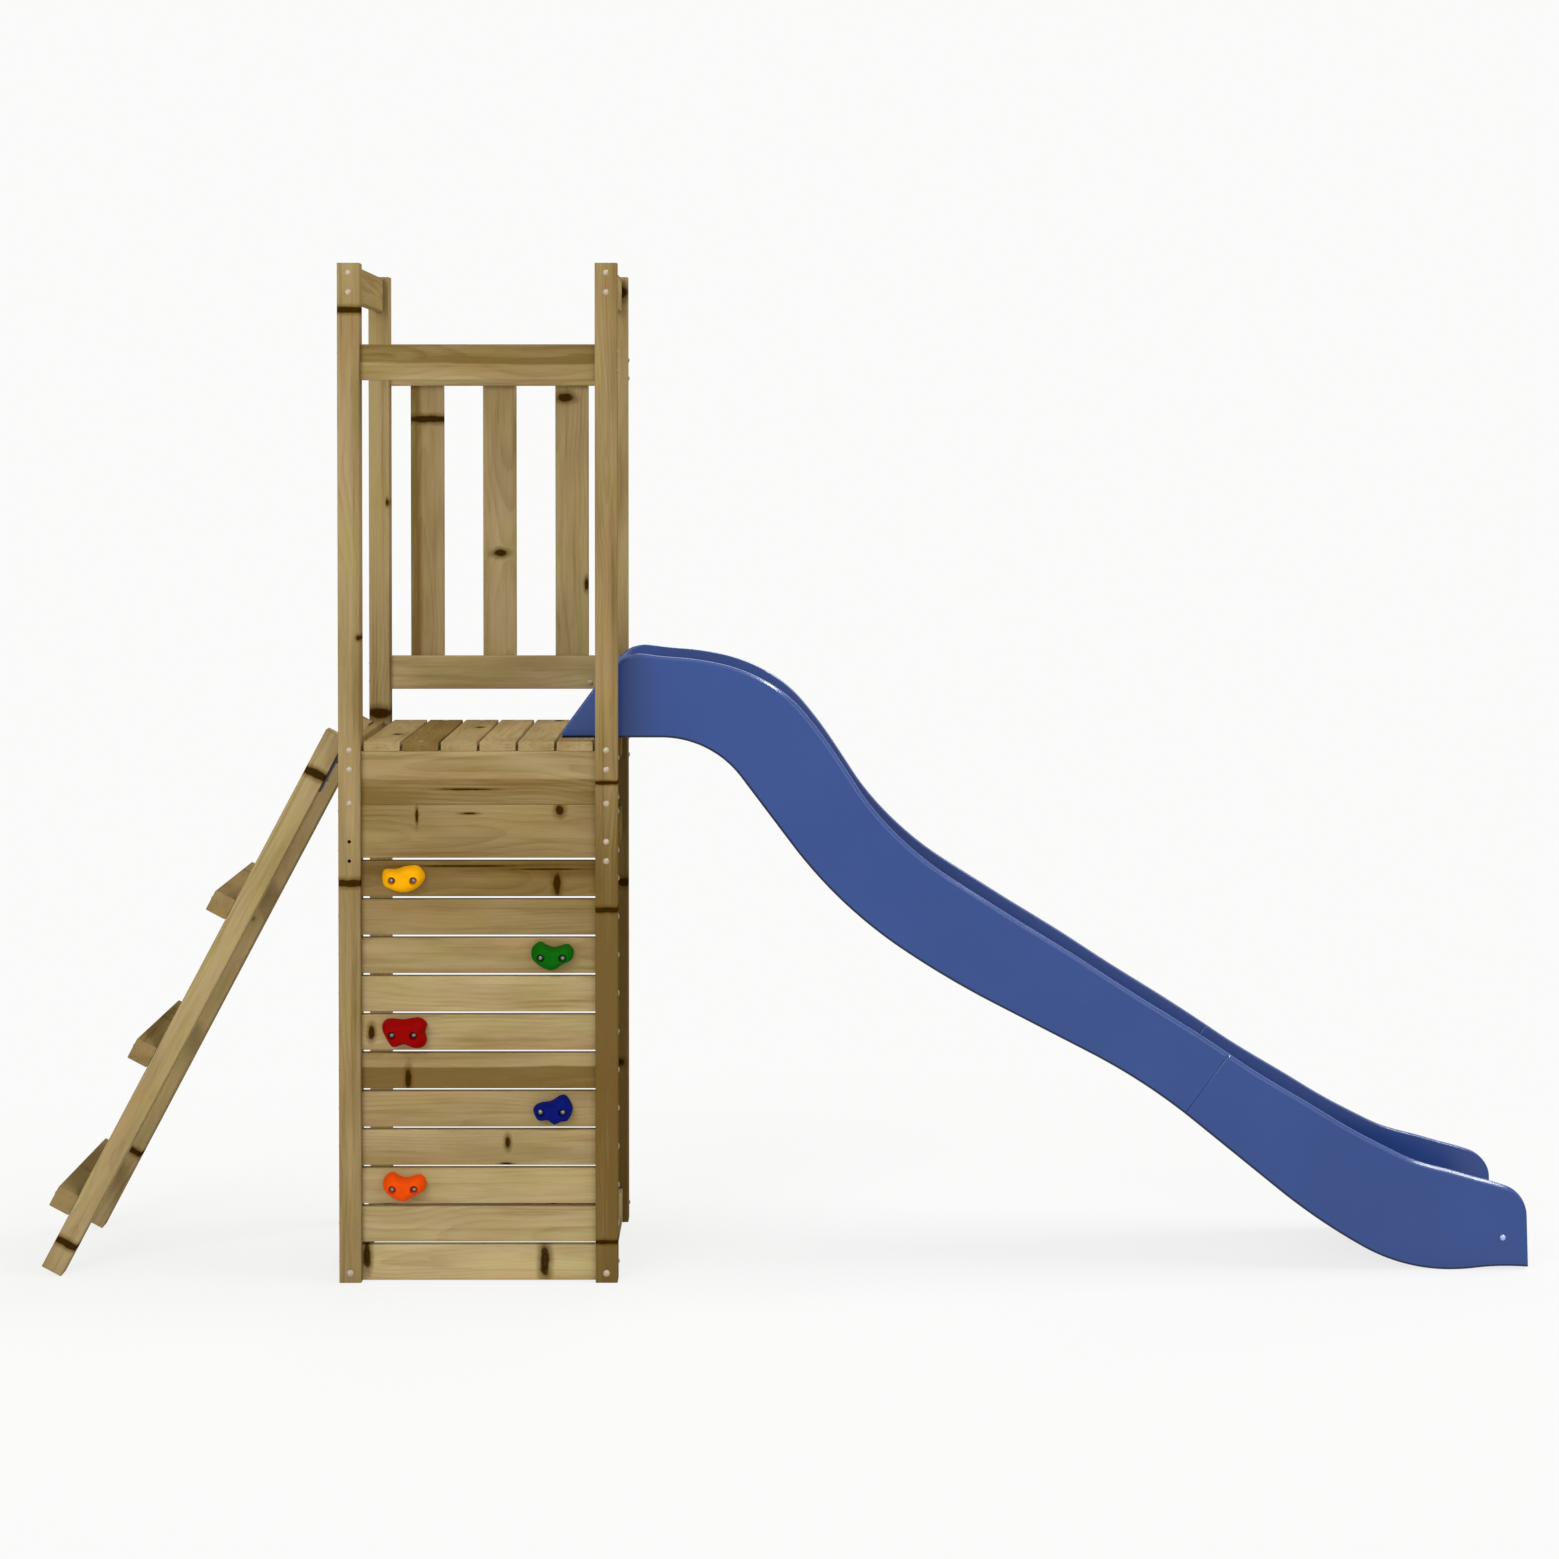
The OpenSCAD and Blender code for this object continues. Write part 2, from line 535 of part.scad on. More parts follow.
module ladder_brackets() {
    color(bracket_dark) at_home() at_brackets()
    translate([0, bracket_w / 2, 0]) rotate([90, 0, 0]) difference() {
        linear_extrude(bracket_w) union() {
            translate([rail_face_x - bracket_t - seat_gap, deck_top - bracket_rail_leg])
                square([bracket_t, bracket_rail_leg - bracket_t]);
            translate([ladder_foot_x, 0]) rotate(-ladder_lean) translate([seat_gap, ladder_len - bracket_leg])
                square([bracket_t, bracket_leg - bracket_t]);
        }
        rotate([-90, 0, 0]) translate([0, -bracket_w / 2, 0]) {
            at_rail_bracket_screw() screw_hole(bracket_screw_len);
            on_ladder() at_stringer_bracket_screws() screw_hole(bracket_screw_len);
        }
    }
}

// Climbing holds: u across, v up and w out of the board
hold_count = 5;
function hold_board(h) = climbing_count - 2 * (h - 1);
function hold_shares(h) = [yellow_shares, lobed_shares, red_shares, blue_shares, lobed_shares][h - 1];
function bend_point(a, b, c, d, t) = (2 * b + (c - a) * t + (2 * a - 5 * b + 4 * c - d) * t * t
    + (3 * b - a - 3 * c + d) * t * t * t) / 2;
function outline(shares, size) = let (n = len(shares)) [for (i = [0 : n - 1]) for (k = [0 : hold_steps - 1])
    let (before = shares[(i + n - 1) % n], next = shares[(i + 1) % n], after = shares[(i + 2) % n])
    let (p = bend_point(before, shares[i], next, after, k / hold_steps))
        [p[0] * size[0] * hold_w / 2, p[1] * size[1] * hold_h / 2]];
module at_hold(h) {
    translate([(h % 2 == 0 ? 1 : -1) * hold_x, board_face_y - seat_gap, climbing_z(hold_board(h))])
        rotate([90, 0, 0]) children();
}
module at_hold_bolts() {
    for (side = [-1, 1]) translate([side * hold_bolt_pitch / 2, 0, hold_seat]) mirror([0, 0, 1]) children();
}
module hold_bolt_holes() {
    at_hold_bolts() translate([0, 0, -overrun])
        cylinder(r = bolt_r + hole_clear, h = hold_bolt_len + 2 * overrun);
}
module climbing_hold(h, tint) {
    edge = outline(hold_shares(h), hold_size_shares[h - 1]);
    n = len(edge);
    rings = [for (k = [0 : hold_rings]) let (a = hold_top_angle * k / hold_rings)
        [pow(cos(a), hold_swell), hold_depth * sin(a) / sin(hold_top_angle)]];
    points = concat([for (ring = rings) for (p = edge) [p[0] * ring[0], p[1] * ring[0], ring[1]]],
        [[0, 0, 0], [0, 0, hold_depth]]);
    foot = len(points) - 2;
    sides = [for (k = [0 : hold_rings - 1]) for (i = [0 : n - 1]) let (a = k * n + i, b = k * n + (i + 1) % n)
        each [[a, a + n, b], [b, a + n, b + n]]];
    caps = [for (i = [0 : n - 1]) let (j = (i + 1) % n)
        each [[i, j, foot], [hold_rings * n + j, hold_rings * n + i, foot + 1]]];
    color(tint) at_home() at_hold(h) difference() {
        polyhedron(points, concat(sides, caps));
        hold_bolt_holes();
        at_hold_bolts() translate([0, 0, -hold_depth]) cylinder(r = counterbore_r, h = hold_depth);
    }
}

// Slide sections: rings of points joined along the path
module slide_section(stations) {
    rings = [for (station = stations) station_ring(station)];
    n = len(rings[0]);
    last = len(rings) - 1;
    points = [for (ring = rings) for (p = ring) p];
    sides = [for (k = [0 : last - 1]) for (i = [0 : n - 1]) let (a = k * n + i, b = k * n + (i + 1) % n)
        each [[a, b, a + n], [b, b + n, a + n]]];
    start = [for (i = [0 : n / 2 - 2]) each [[i, n - 2 - i, i + 1], [i, n - 1 - i, n - 2 - i]]];
    end = [for (face = start) [for (i = reversed(face)) last * n + i]];
    polyhedron(points, concat(sides, start, end));
}
module at_seam() {
    for (side = [-1, 1]) translate(slide_point(seam_share, side * seam_bolt_y, seam_bolt_up))
        rotate([0, half_turn / 2 - section_angle(seam_share), 0]) children();
}
module at_foot_bolts() {
    s = 1 - foot_bolt_inset / slide_len;
    for (side = [-1, 1]) translate(slide_point(s, side * slide_half, foot_bolt_up)) to_y(-side) children();
}
module slide_bolt_hole(r, length) { translate([0, 0, -length]) cylinder(r = r + hole_clear, h = 2 * length); }
module slide_upper() {
    color(slide_blue) at_home() difference() {
        slide_section(upper_stations);
        at_tongue_screws() screw_hole(tongue_screw_len);
        at_seam() slide_bolt_hole(seam_bolt_r, 2 * seam_seat);
    }
}
module slide_lower() {
    color(slide_blue) at_home() difference() {
        slide_section(lower_stations);
        at_seam() slide_bolt_hole(seam_bolt_r, 2 * seam_seat);
        at_foot_bolts() slide_bolt_hole(bolt_r, 2 * rim_r + overrun);
    }
}

// Fastener groups
module hold_bolts() {
    color(steel_grey) at_home() for (h = [1 : hold_count]) at_hold(h) at_hold_bolts()
        plain_bolt(bolt_r, hold_bolt_len);
}
module hold_nuts() {
    color(steel_grey) at_home() for (h = [1 : hold_count]) at_hold(h) at_hold_bolts()
        translate([0, 0, hold_seat + 2 * seat_gap + board_t]) nut(bolt_r);
}
module slide_bolts() {
    color(steel_grey) at_home() {
        at_seam() translate([0, 0, -seam_seat]) plain_bolt(seam_bolt_r, 2 * (seam_seat + seam_bolt_r));
        at_seam() translate([0, 0, seam_seat + seat_gap]) nut(seam_bolt_r);
        at_foot_bolts() plain_bolt(bolt_r, 2 * rim_r - overrun);
    }
}
module slide_screws() { color(steel_grey) at_home() at_tongue_screws() wood_screw(tongue_screw_len); }
module frame_screws() {
    color(steel_grey) at_home() for (side = [-1, 1]) {
        for (end = [-1, 1]) {
            at_rail_screws(side, end) wood_screw(frame_screw_len);
            at_bottom_bolt(side, end) wood_screw(frame_screw_len, bottom_head_r);
        }
        at_lone_screw(side) wood_screw(lone_screw_len);
    }
}
module board_screws() {
    color(steel_grey) at_home() for (side = [-1, 1]) {
        at_board_screws(side, front_y, front_screws()) wood_screw(board_screw_len);
        at_board_screws(side, back_y, back_screws()) wood_screw(board_screw_len);
    }
}
module deck_screws() {
    color(steel_grey) at_home() for (i = [1 : deck_count]) at_deck_screws(i) flush_screw(deck_screw_len);
}
module baluster_screws() {
    color(steel_grey) at_home() for (i = [1 : baluster_count]) at_baluster_screws(i)
        wood_screw(baluster_screw_len);
}
module ladder_screws() {
    color(steel_grey) at_home() {
        on_ladder() at_tread_screws() wood_screw(tread_screw_len);
        at_brackets() at_rail_bracket_screw() wood_screw(bracket_screw_len);
        on_ladder() at_brackets() at_stringer_bracket_screws() wood_screw(bracket_screw_len);
    }
}

post(-1, -1, wood_light);  // front_left_post
post(1, -1, wood_mid);  // front_right_post
post(-1, 1, wood_mid);  // back_left_post
post(1, 1, wood_dark);  // back_right_post
front_board(1);  // front_board_lower
front_board(2);  // front_board_upper
for (i = [1 : climbing_count]) climbing_board(i);
for (i = [1 : deck_count]) deck_board(i);
side_rail(-1, deck_rail_z);  // left_deck_rail
side_rail(1, deck_rail_z);  // right_deck_rail
side_rail(1, lower_rail_z);  // right_lower_rail
side_rail(-1, bottom_rail_z);  // left_bottom_rail
side_rail(1, bottom_rail_z);  // right_bottom_rail
side_rail(-1, top_rail_z);  // left_top_rail
side_rail(1, top_rail_z);  // right_top_rail
back_bottom_rail();
deck_ledger();
front_guard_rail();
back_rail(guard_z);  // back_guard_rail
back_rail(back_lower_z);  // back_lower_rail
for (i = [1 : baluster_count]) baluster(i);
ladder_stringer(0);  // ladder_stringer_front
ladder_stringer(1);  // ladder_stringer_back
for (i = [1 : tread_count]) ladder_tread(i);
ladder_brackets();
slide_upper();
slide_lower();
climbing_hold(1, [0.95, 0.68, 0.05]);  // hold_yellow
climbing_hold(2, [0.05, 0.42, 0.05]);  // hold_green
climbing_hold(3, [0.65, 0.03, 0.03]);  // hold_red
climbing_hold(4, [0.03, 0.05, 0.50]);  // hold_blue
climbing_hold(5, [0.95, 0.33, 0.03]);  // hold_orange
hold_bolts();
hold_nuts();
slide_bolts();
slide_screws();
frame_screws();
board_screws();
deck_screws();
baluster_screws();
ladder_screws();
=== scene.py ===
# Wooden climbing frame: the looks of its timber, slide, holds and fasteners.
# Lengths are in metres. Those that place knots and piths in the timber are in millimetres.
import math
import random

import bmesh
import bpy
from mathutils import Matrix, Vector


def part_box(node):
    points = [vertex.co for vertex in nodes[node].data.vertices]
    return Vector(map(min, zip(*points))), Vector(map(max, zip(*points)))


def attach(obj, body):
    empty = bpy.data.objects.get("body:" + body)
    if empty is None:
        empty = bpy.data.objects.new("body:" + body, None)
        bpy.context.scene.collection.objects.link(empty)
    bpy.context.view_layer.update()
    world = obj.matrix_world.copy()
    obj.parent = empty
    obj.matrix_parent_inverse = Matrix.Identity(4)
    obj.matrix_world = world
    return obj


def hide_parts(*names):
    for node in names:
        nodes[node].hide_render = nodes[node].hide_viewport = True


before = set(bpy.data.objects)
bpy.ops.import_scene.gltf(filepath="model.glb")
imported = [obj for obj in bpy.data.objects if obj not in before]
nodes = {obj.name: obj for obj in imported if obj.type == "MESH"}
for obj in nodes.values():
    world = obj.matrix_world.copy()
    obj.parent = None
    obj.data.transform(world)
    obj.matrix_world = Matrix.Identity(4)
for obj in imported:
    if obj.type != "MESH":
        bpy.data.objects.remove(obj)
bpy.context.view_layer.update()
scene = bpy.context.scene
scene.view_settings.view_transform = "Standard"

# The tower: TOWER_X is its middle from left to right, TOWER_Y the front face of its front posts
TOWER_W = 0.530
TOWER_D = 0.465
post_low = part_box("front_left_post")[0]
TOWER_X = post_low.x + TOWER_W / 2
TOWER_Y = post_low.y
DECK_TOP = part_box("deck_board_1")[1].z
LADDER_LEAN = math.radians(28)

# Camera: its place is measured from the tower, its focal length in pixels of the photo
PHOTO_SIZE = 1559
FOCAL_LENGTH = 2799.7
SENSOR_WIDTH = 36
CAMERA_RIGHT = 0.5437
CAMERA_FRONT = 5.3054
CAMERA_UP = 1.5733
CAMERA_TILT = math.radians(89.0)
CAMERA_TURN = math.radians(-0.101)
CAMERA_SHIFT_X = 0.0068
CAMERA_SHIFT_Y = -0.1758
CAMERA_REACH = 100
camera_data = bpy.data.cameras.new("camera")
camera_data.sensor_width = SENSOR_WIDTH
camera_data.lens = FOCAL_LENGTH / PHOTO_SIZE * SENSOR_WIDTH
camera_data.shift_x = CAMERA_SHIFT_X
camera_data.shift_y = CAMERA_SHIFT_Y
camera_data.clip_end = CAMERA_REACH
camera = bpy.data.objects.new("camera", camera_data)
camera.location = (TOWER_X + CAMERA_RIGHT, TOWER_Y - CAMERA_FRONT, CAMERA_UP)
camera.rotation_euler = (CAMERA_TILT, 0, CAMERA_TURN)
scene.collection.objects.link(camera)
scene.camera = camera


# Node helpers
def put(tree, kind, inputs=None, **settings):
    """Add a node. An input that is a socket is linked, and any other is set."""
    node = tree.nodes.new(kind)
    for key, value in settings.items():
        setattr(node, key, value)
    for key, value in (inputs or {}).items():
        if isinstance(value, bpy.types.NodeSocket):
            tree.links.new(value, node.inputs[key])
        else:
            node.inputs[key].default_value = value
    return node


def calc(tree, operation, a, b=0.0, clamp=False):
    return put(tree, "ShaderNodeMath", {0: a, 1: b}, operation=operation, use_clamp=clamp).outputs[0]


def vector_calc(tree, operation, a, b):
    return put(tree, "ShaderNodeVectorMath", {0: a, 1: b}, operation=operation).outputs[0]


def vector_length(tree, vector):
    return put(tree, "ShaderNodeVectorMath", {0: vector}, operation="LENGTH").outputs["Value"]


def object_place(tree):
    return put(tree, "ShaderNodeTexCoord").outputs["Object"]


def noise(tree, vector, scale, detail=2.0, roughness=0.5, output="Fac"):
    inputs = {"Vector": vector, "Scale": scale, "Detail": detail, "Roughness": roughness}
    return put(tree, "ShaderNodeTexNoise", inputs).outputs[output]


def stretched_noise(tree, vector, scales, detail=2.0, roughness=0.5, output="Fac"):
    """Noise with a scale of its own along each axis."""
    return noise(tree, vector_calc(tree, "MULTIPLY", vector, scales), 1.0, detail, roughness, output)


def ramp(tree, value, low, high, to_low=0.0, to_high=1.0):
    inputs = {"Value": value, "From Min": low, "From Max": high, "To Min": to_low, "To Max": to_high}
    return put(tree, "ShaderNodeMapRange", inputs, interpolation_type="SMOOTHSTEP").outputs[0]


def blend_colour(tree, factor, a, b, mode="MIX"):
    node = put(tree, "ShaderNodeMix", {0: factor}, data_type="RGBA", blend_type=mode)
    for socket, value in ((node.inputs[6], a), (node.inputs[7], b)):
        if isinstance(value, bpy.types.NodeSocket):
            tree.links.new(value, socket)
        else:
            socket.default_value = (*value, 1)
    return node.outputs[2]


def new_material(name):
    material = bpy.data.materials.new(name)
    material.use_nodes = True
    tree = material.node_tree
    shader = tree.nodes["Principled BSDF"]
    return material, tree, shader


def add_bump(tree, shader, height, strength, distance):
    bump = put(tree, "ShaderNodeBump", {"Height": height, "Strength": strength, "Distance": distance})
    tree.links.new(bump.outputs[0], shader.inputs["Normal"])


def dress(name, material):
    nodes[name].data.materials.clear()
    nodes[name].data.materials.append(material)


# Treated pine: growth rings round a pith, fibres, patches and streaks, a green and a warm tint, and knots.
# Each noise has a scale along the grain, across it and through the board, then a detail and a roughness
WOOD_NOISE = {
    "wobble": ((60, 60, 20), 1.0, 0.5),
    "drift": ((1.7, 3.0, 3.0), 2.0, 0.5),
    "fine": ((14, 160, 160), 2.0, 0.5),
    "uneven": ((2.2, 30, 30), 2.0, 0.5),
    "fibre": ((16, 620, 620), 3.0, 0.6),
    "patch": ((3.4, 22, 22), 3.0, 0.5),
    "streak": ((2.0, 95, 95), 2.0, 0.5),
    "mottle": ((7, 14, 14), 2.0, 0.5),
    "blush": ((4, 26, 26), 2.0, 0.5),
}
# Noises that darken the wood: where each sets in, where it is full, and how much it adds
DARK_LAYERS = {"fibre": (0.35, 0.75, 0.17), "patch": (0.35, 0.72, 0.40), "streak": (0.52, 0.78, 0.30)}
# Noises that tint the wood: where each sets in, where it is full, its strength and its colour
TINT_LAYERS = {
    "mottle": (0.42, 0.68, 0.35, (0.90, 1.0, 0.62)),
    "blush": (0.45, 0.72, 0.5, (1.0, 0.88, 0.80)),
}
NOISE_MIDDLE = 0.5
STEP_HALF = 0.5
ACROSS_GRAIN = (0.0, 1.0, 1.0)
# Rings: the late wood darkens over most of a ring and ends sharply, and it is fainter in places
RING_WIDTH = 0.0062
RING_DRIFT = (0.0, 0.09, 0.07)
RING_SWIRL = 0.011
RING_RAGGED = 0.0016
RING_TONE = 0.22
LATE_RISE = (0.35, 0.93)
LATE_END = (1.0, 0.95)
LATE_UNEVEN = (0.35, 0.7, 0.25, 1.0)
BAND_WAVE = 0.022
# Knots: the reach of the halo and of the core is in knot radii, where each sets in and where it is full
KNOT_NAMES = ("Knot 1", "Knot 2", "Knot 3")
KNOT_RAGGED = 0.7
HALO_REACH = (2.4, 0.9)
HALO_STRENGTH = 0.68
HALO_COLOUR = (0.100, 0.052, 0.004)
CORE_REACH = (1.2, 0.7)
CORE_STRENGTH = 0.95
CORE_RINGS = 17.0
CORE_RING_STRENGTH = 0.05
CORE_COLOUR = (0.030, 0.0115, 0.0003)
WOOD_ROUGHNESS = 0.56
FIBRE_ROUGHNESS = 0.22
WOOD_SPECULAR = 0.0
FIBRE_HEIGHT = 0.55
RING_HEIGHT = 0.45
CORE_HEIGHT = 0.4


def pine_sockets(group):
    vectors = ["Place", "Seed", "Pith", "Band", "Run"]
    for knot in KNOT_NAMES:
        vectors += [knot, knot + " half"]
    for name in vectors:
        group.interface.new_socket(name, in_out="INPUT", socket_type="NodeSocketVector")
    for name in ("Light", "Dark"):
        group.interface.new_socket(name, in_out="INPUT", socket_type="NodeSocketColor")
    group.interface.new_socket("Color", in_out="OUTPUT", socket_type="NodeSocketColor")
    for name in ("Roughness", "Height"):
        group.interface.new_socket(name, in_out="OUTPUT", socket_type="NodeSocketFloat")


def wood_noise(group, seeded, name, output="Fac"):
    return stretched_noise(group, seeded, *WOOD_NOISE[name], output)


def knot_distance(group, source, seeded):
    """Distance from the nearest knot, in knot radii, with a ragged edge."""
    wobble = calc(group, "SUBTRACT", wood_noise(group, seeded, "wobble"), NOISE_MIDDLE)
    wobble = calc(group, "MULTIPLY", wobble, KNOT_RAGGED)
    nearest = None
    for knot in KNOT_NAMES:
        offset = vector_calc(group, "SUBTRACT", source["Place"], source[knot])
        scaled = vector_calc(group, "DIVIDE", offset, source[knot + " half"])
        away = calc(group, "ADD", vector_length(group, scaled), wobble)
        nearest = away if nearest is None else calc(group, "MINIMUM", nearest, away)
    return nearest


def growth_rings(group, source, seeded, knot):
    """The late wood of the rings, from 0 to 1. The rings round the pith drift, and bend near a knot."""
    drift = wood_noise(group, seeded, "drift", "Color")
    drift = vector_calc(group, "SUBTRACT", drift, [NOISE_MIDDLE] * 3)
    drift = vector_calc(group, "MULTIPLY", drift, RING_DRIFT)
    centred = vector_calc(group, "SUBTRACT", source["Place"], source["Pith"])
    centred = vector_calc(group, "ADD", centred, drift)
    across = vector_calc(group, "MULTIPLY", centred, ACROSS_GRAIN)
    swirl = calc(group, "ADD", calc(group, "MULTIPLY", knot, knot), 1.0)
    swirl = calc(group, "DIVIDE", RING_SWIRL, swirl)
    ragged = calc(group, "MULTIPLY", wood_noise(group, seeded, "fine"), RING_RAGGED)
    reach = calc(group, "ADD", vector_length(group, across), swirl)
    reach = calc(group, "ADD", reach, ragged)
    phase = calc(group, "FRACT", calc(group, "DIVIDE", reach, RING_WIDTH))
    late = calc(group, "MULTIPLY", ramp(group, phase, *LATE_RISE), ramp(group, phase, *LATE_END))
    uneven = ramp(group, wood_noise(group, seeded, "uneven"), *LATE_UNEVEN)
    return calc(group, "MULTIPLY", late, uneven)


def soft_step(group, settings, value):
    """A step to a darker tone. The settings hold its place, its softness and its depth."""
    place, softness, depth = put(group, "ShaderNodeSeparateXYZ", {0: settings}).outputs
    step = calc(group, "DIVIDE", calc(group, "SUBTRACT", place, value), softness)
    return calc(group, "MULTIPLY", ramp(group, step, -STEP_HALF, STEP_HALF), depth)


def make_pine():
    group = bpy.data.node_groups.new("pine", "ShaderNodeTree")
    pine_sockets(group)
    source = put(group, "NodeGroupInput").outputs
    along, across, _ = put(group, "ShaderNodeSeparateXYZ", {0: source["Place"]}).outputs
    seeded = vector_calc(group, "ADD", source["Place"], source["Seed"])
    knot = knot_distance(group, source, seeded)
    late = growth_rings(group, source, seeded, knot)

    # Tone: the rings, the dark layers, a step along the board and a wavy one across it
    layers = {name: wood_noise(group, seeded, name) for name in DARK_LAYERS}
    tone = calc(group, "MULTIPLY", late, RING_TONE)
    for name, (low, high, depth) in DARK_LAYERS.items():
        darker = calc(group, "MULTIPLY", ramp(group, layers[name], low, high), depth)
        tone = calc(group, "ADD", tone, darker)
    tone = calc(group, "ADD", tone, soft_step(group, source["Run"], along))
    wave = calc(group, "MULTIPLY", calc(group, "SUBTRACT", layers["patch"], NOISE_MIDDLE), BAND_WAVE)
    band = soft_step(group, source["Band"], calc(group, "ADD", across, wave))
    tone = calc(group, "ADD", tone, band, clamp=True)
    colour = blend_colour(group, tone, source["Light"], source["Dark"])
    for name, (low, high, strength, tint) in TINT_LAYERS.items():
        share = ramp(group, wood_noise(group, seeded, name), low, high, 0.0, strength)
        colour = blend_colour(group, share, colour, tint, "MULTIPLY")

    # Knots: a dark core with rings and a brown halo
    halo = calc(group, "MULTIPLY", ramp(group, knot, *HALO_REACH), HALO_STRENGTH)
    colour = blend_colour(group, halo, colour, HALO_COLOUR)
    core_ring = calc(group, "SINE", calc(group, "MULTIPLY", knot, CORE_RINGS))
    core_ring = calc(group, "MULTIPLY", core_ring, CORE_RING_STRENGTH)
    strength = calc(group, "ADD", CORE_STRENGTH, core_ring)
    core = calc(group, "MULTIPLY", ramp(group, knot, *CORE_REACH), strength)
    colour = blend_colour(group, core, colour, CORE_COLOUR)

    rough = calc(group, "ADD", WOOD_ROUGHNESS, calc(group, "MULTIPLY", layers["fibre"], FIBRE_ROUGHNESS))
    height = calc(group, "MULTIPLY", layers["fibre"], FIBRE_HEIGHT)
    height = calc(group, "ADD", height, calc(group, "MULTIPLY", late, RING_HEIGHT))
    height = calc(group, "SUBTRACT", height, calc(group, "MULTIPLY", core, CORE_HEIGHT))
    put(group, "NodeGroupOutput", {"Color": colour, "Roughness": rough, "Height": height})
    return group


# Timber: the order of axes that leads the grain along each board, and the colours that tones lie between
pine = make_pine()
ORDERS = {"x": (0, 2, 1), "z": (2, 0, 1), "y_upright": (1, 2, 0), "y_flat": (1, 0, 2)}
LIGHT = Vector((0.548, 0.429, 0.234))
BROWN = Vector((0.207, 0.130, 0.0395))
STREAK = Vector((0.46, 0.39, 0.25))
NO_KNOT = (9000, 0, 8, 8)
NO_BAND = (0.0, 0.02, 0.0)
NO_RUN = (0.0, 0.1, 0.0)
SEED_REACH = 20
PITH_ACROSS = 45
PITH_NEAR = 25
PITH_FAR = 75
MM_PER_M = 1000
POST_HEIGHT = round(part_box("front_left_post")[1].z * MM_PER_M)


def dress_timber(name, order, tone, knots=(), band=NO_BAND, run=NO_RUN, lean=0.0):
    """Pine on one node. Knots are (along, across, half length, half width) from the board's middle.

    Band and run are (place, softness, depth) of a darker part across and along the board: painted shade on
    the front posts and the back right post, a tone of the wood elsewhere. It lies below its place, or above
    it where the softness is negative.
    """
    chance = random.Random(name)
    low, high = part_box(name)
    middle = (low + high) / 2
    material, tree, shader = new_material(name)
    turned = {"Vector": object_place(tree), "Location": middle, "Rotation": (0, lean, 0)}
    mapping = put(tree, "ShaderNodeMapping", turned, vector_type="TEXTURE")
    parts = put(tree, "ShaderNodeSeparateXYZ", {0: mapping.outputs[0]}).outputs
    ordered = put(tree, "ShaderNodeCombineXYZ", {i: parts[k] for i, k in enumerate(ORDERS[order])})
    seed = [chance.uniform(-SEED_REACH, SEED_REACH) for _ in range(3)]
    pith_across = chance.uniform(-PITH_ACROSS, PITH_ACROSS)
    pith_through = chance.choice((-1, 1)) * chance.uniform(PITH_NEAR, PITH_FAR)
    light = LIGHT.lerp(BROWN, tone)
    wood = put(tree, "ShaderNodeGroup", node_tree=pine)
    tree.links.new(ordered.outputs[0], wood.inputs["Place"])
    wood.inputs["Seed"].default_value = seed
    wood.inputs["Pith"].default_value = (0, pith_across / MM_PER_M, pith_through / MM_PER_M)
    wood.inputs["Band"].default_value = band
    wood.inputs["Run"].default_value = run
    wood.inputs["Light"].default_value = (*light, 1)
    wood.inputs["Dark"].default_value = (*(light * STREAK), 1)
    all_knots = [*knots, *[NO_KNOT] * (len(KNOT_NAMES) - len(knots))]
    for knot, (along, across, half_length, half_width) in zip(KNOT_NAMES, all_knots):
        wood.inputs[knot].default_value = (along / MM_PER_M, across / MM_PER_M, 0)
        wood.inputs[knot + " half"].default_value = (half_length / MM_PER_M, half_width / MM_PER_M, 1.0)
    tree.links.new(wood.outputs["Color"], shader.inputs["Base Color"])
    tree.links.new(wood.outputs["Roughness"], shader.inputs["Roughness"])
    shader.inputs["Specular IOR Level"].default_value = WOOD_SPECULAR
    add_bump(tree, shader, wood.outputs["Height"], strength=0.35, distance=0.0006)
    dress(name, material)


def post_knot(height, half_length, across, half_width):
    """A knot on a post, at a height above the ground."""
    return (height - POST_HEIGHT / 2, across, half_length, half_width)


# Posts, and the wide boards and guard rail of the tower's front
# Painted shade: the band darkens the right side of the front left post
dress_timber("front_left_post", "z", 0.51,
             [post_knot(1851, 6, 0, 60), post_knot(763, 7, 0, 60), post_knot(1229, 5, 18, 4)],
             band=(0.008, -0.012, 0.26))
# Painted shade: the band darkens the right side of the front right post, and the run its lower part
dress_timber("front_right_post", "z", 0.60,
             [post_knot(954, 3.5, 0, 50), post_knot(712, 5.5, 0, 60), post_knot(78, 4, 0, 50)],
             band=(0.010, -0.010, 0.22), run=(-0.08, 0.36, 0.80))
dress_timber("back_left_post", "z", 0.50,
             [post_knot(1048, 11, 0, 26), post_knot(1480, 7, 17, 3), post_knot(300, 8, 10, 9)])
# Painted shade: the run darkens the lower part of the back right post
dress_timber("back_right_post", "z", 0.52,
             [post_knot(1909, 13, 8, 12), post_knot(700, 9, 12, 14), post_knot(330, 8, 0, 12)],
             run=(0.1, 0.4, 0.75))
dress_timber("front_board_upper", "x", 0.44, [(-20, -22, 45, 2.0)], band=(-0.002, 0.006, 0.56))
dress_timber("front_board_lower", "x", 0.64, [(155, 40, 8, 10), (-117, 30, 2.5, 14), (-17, 34, 14, 2)])
dress_timber("front_guard_rail", "x", 0.46, band=(0.0, -0.006, 0.62))

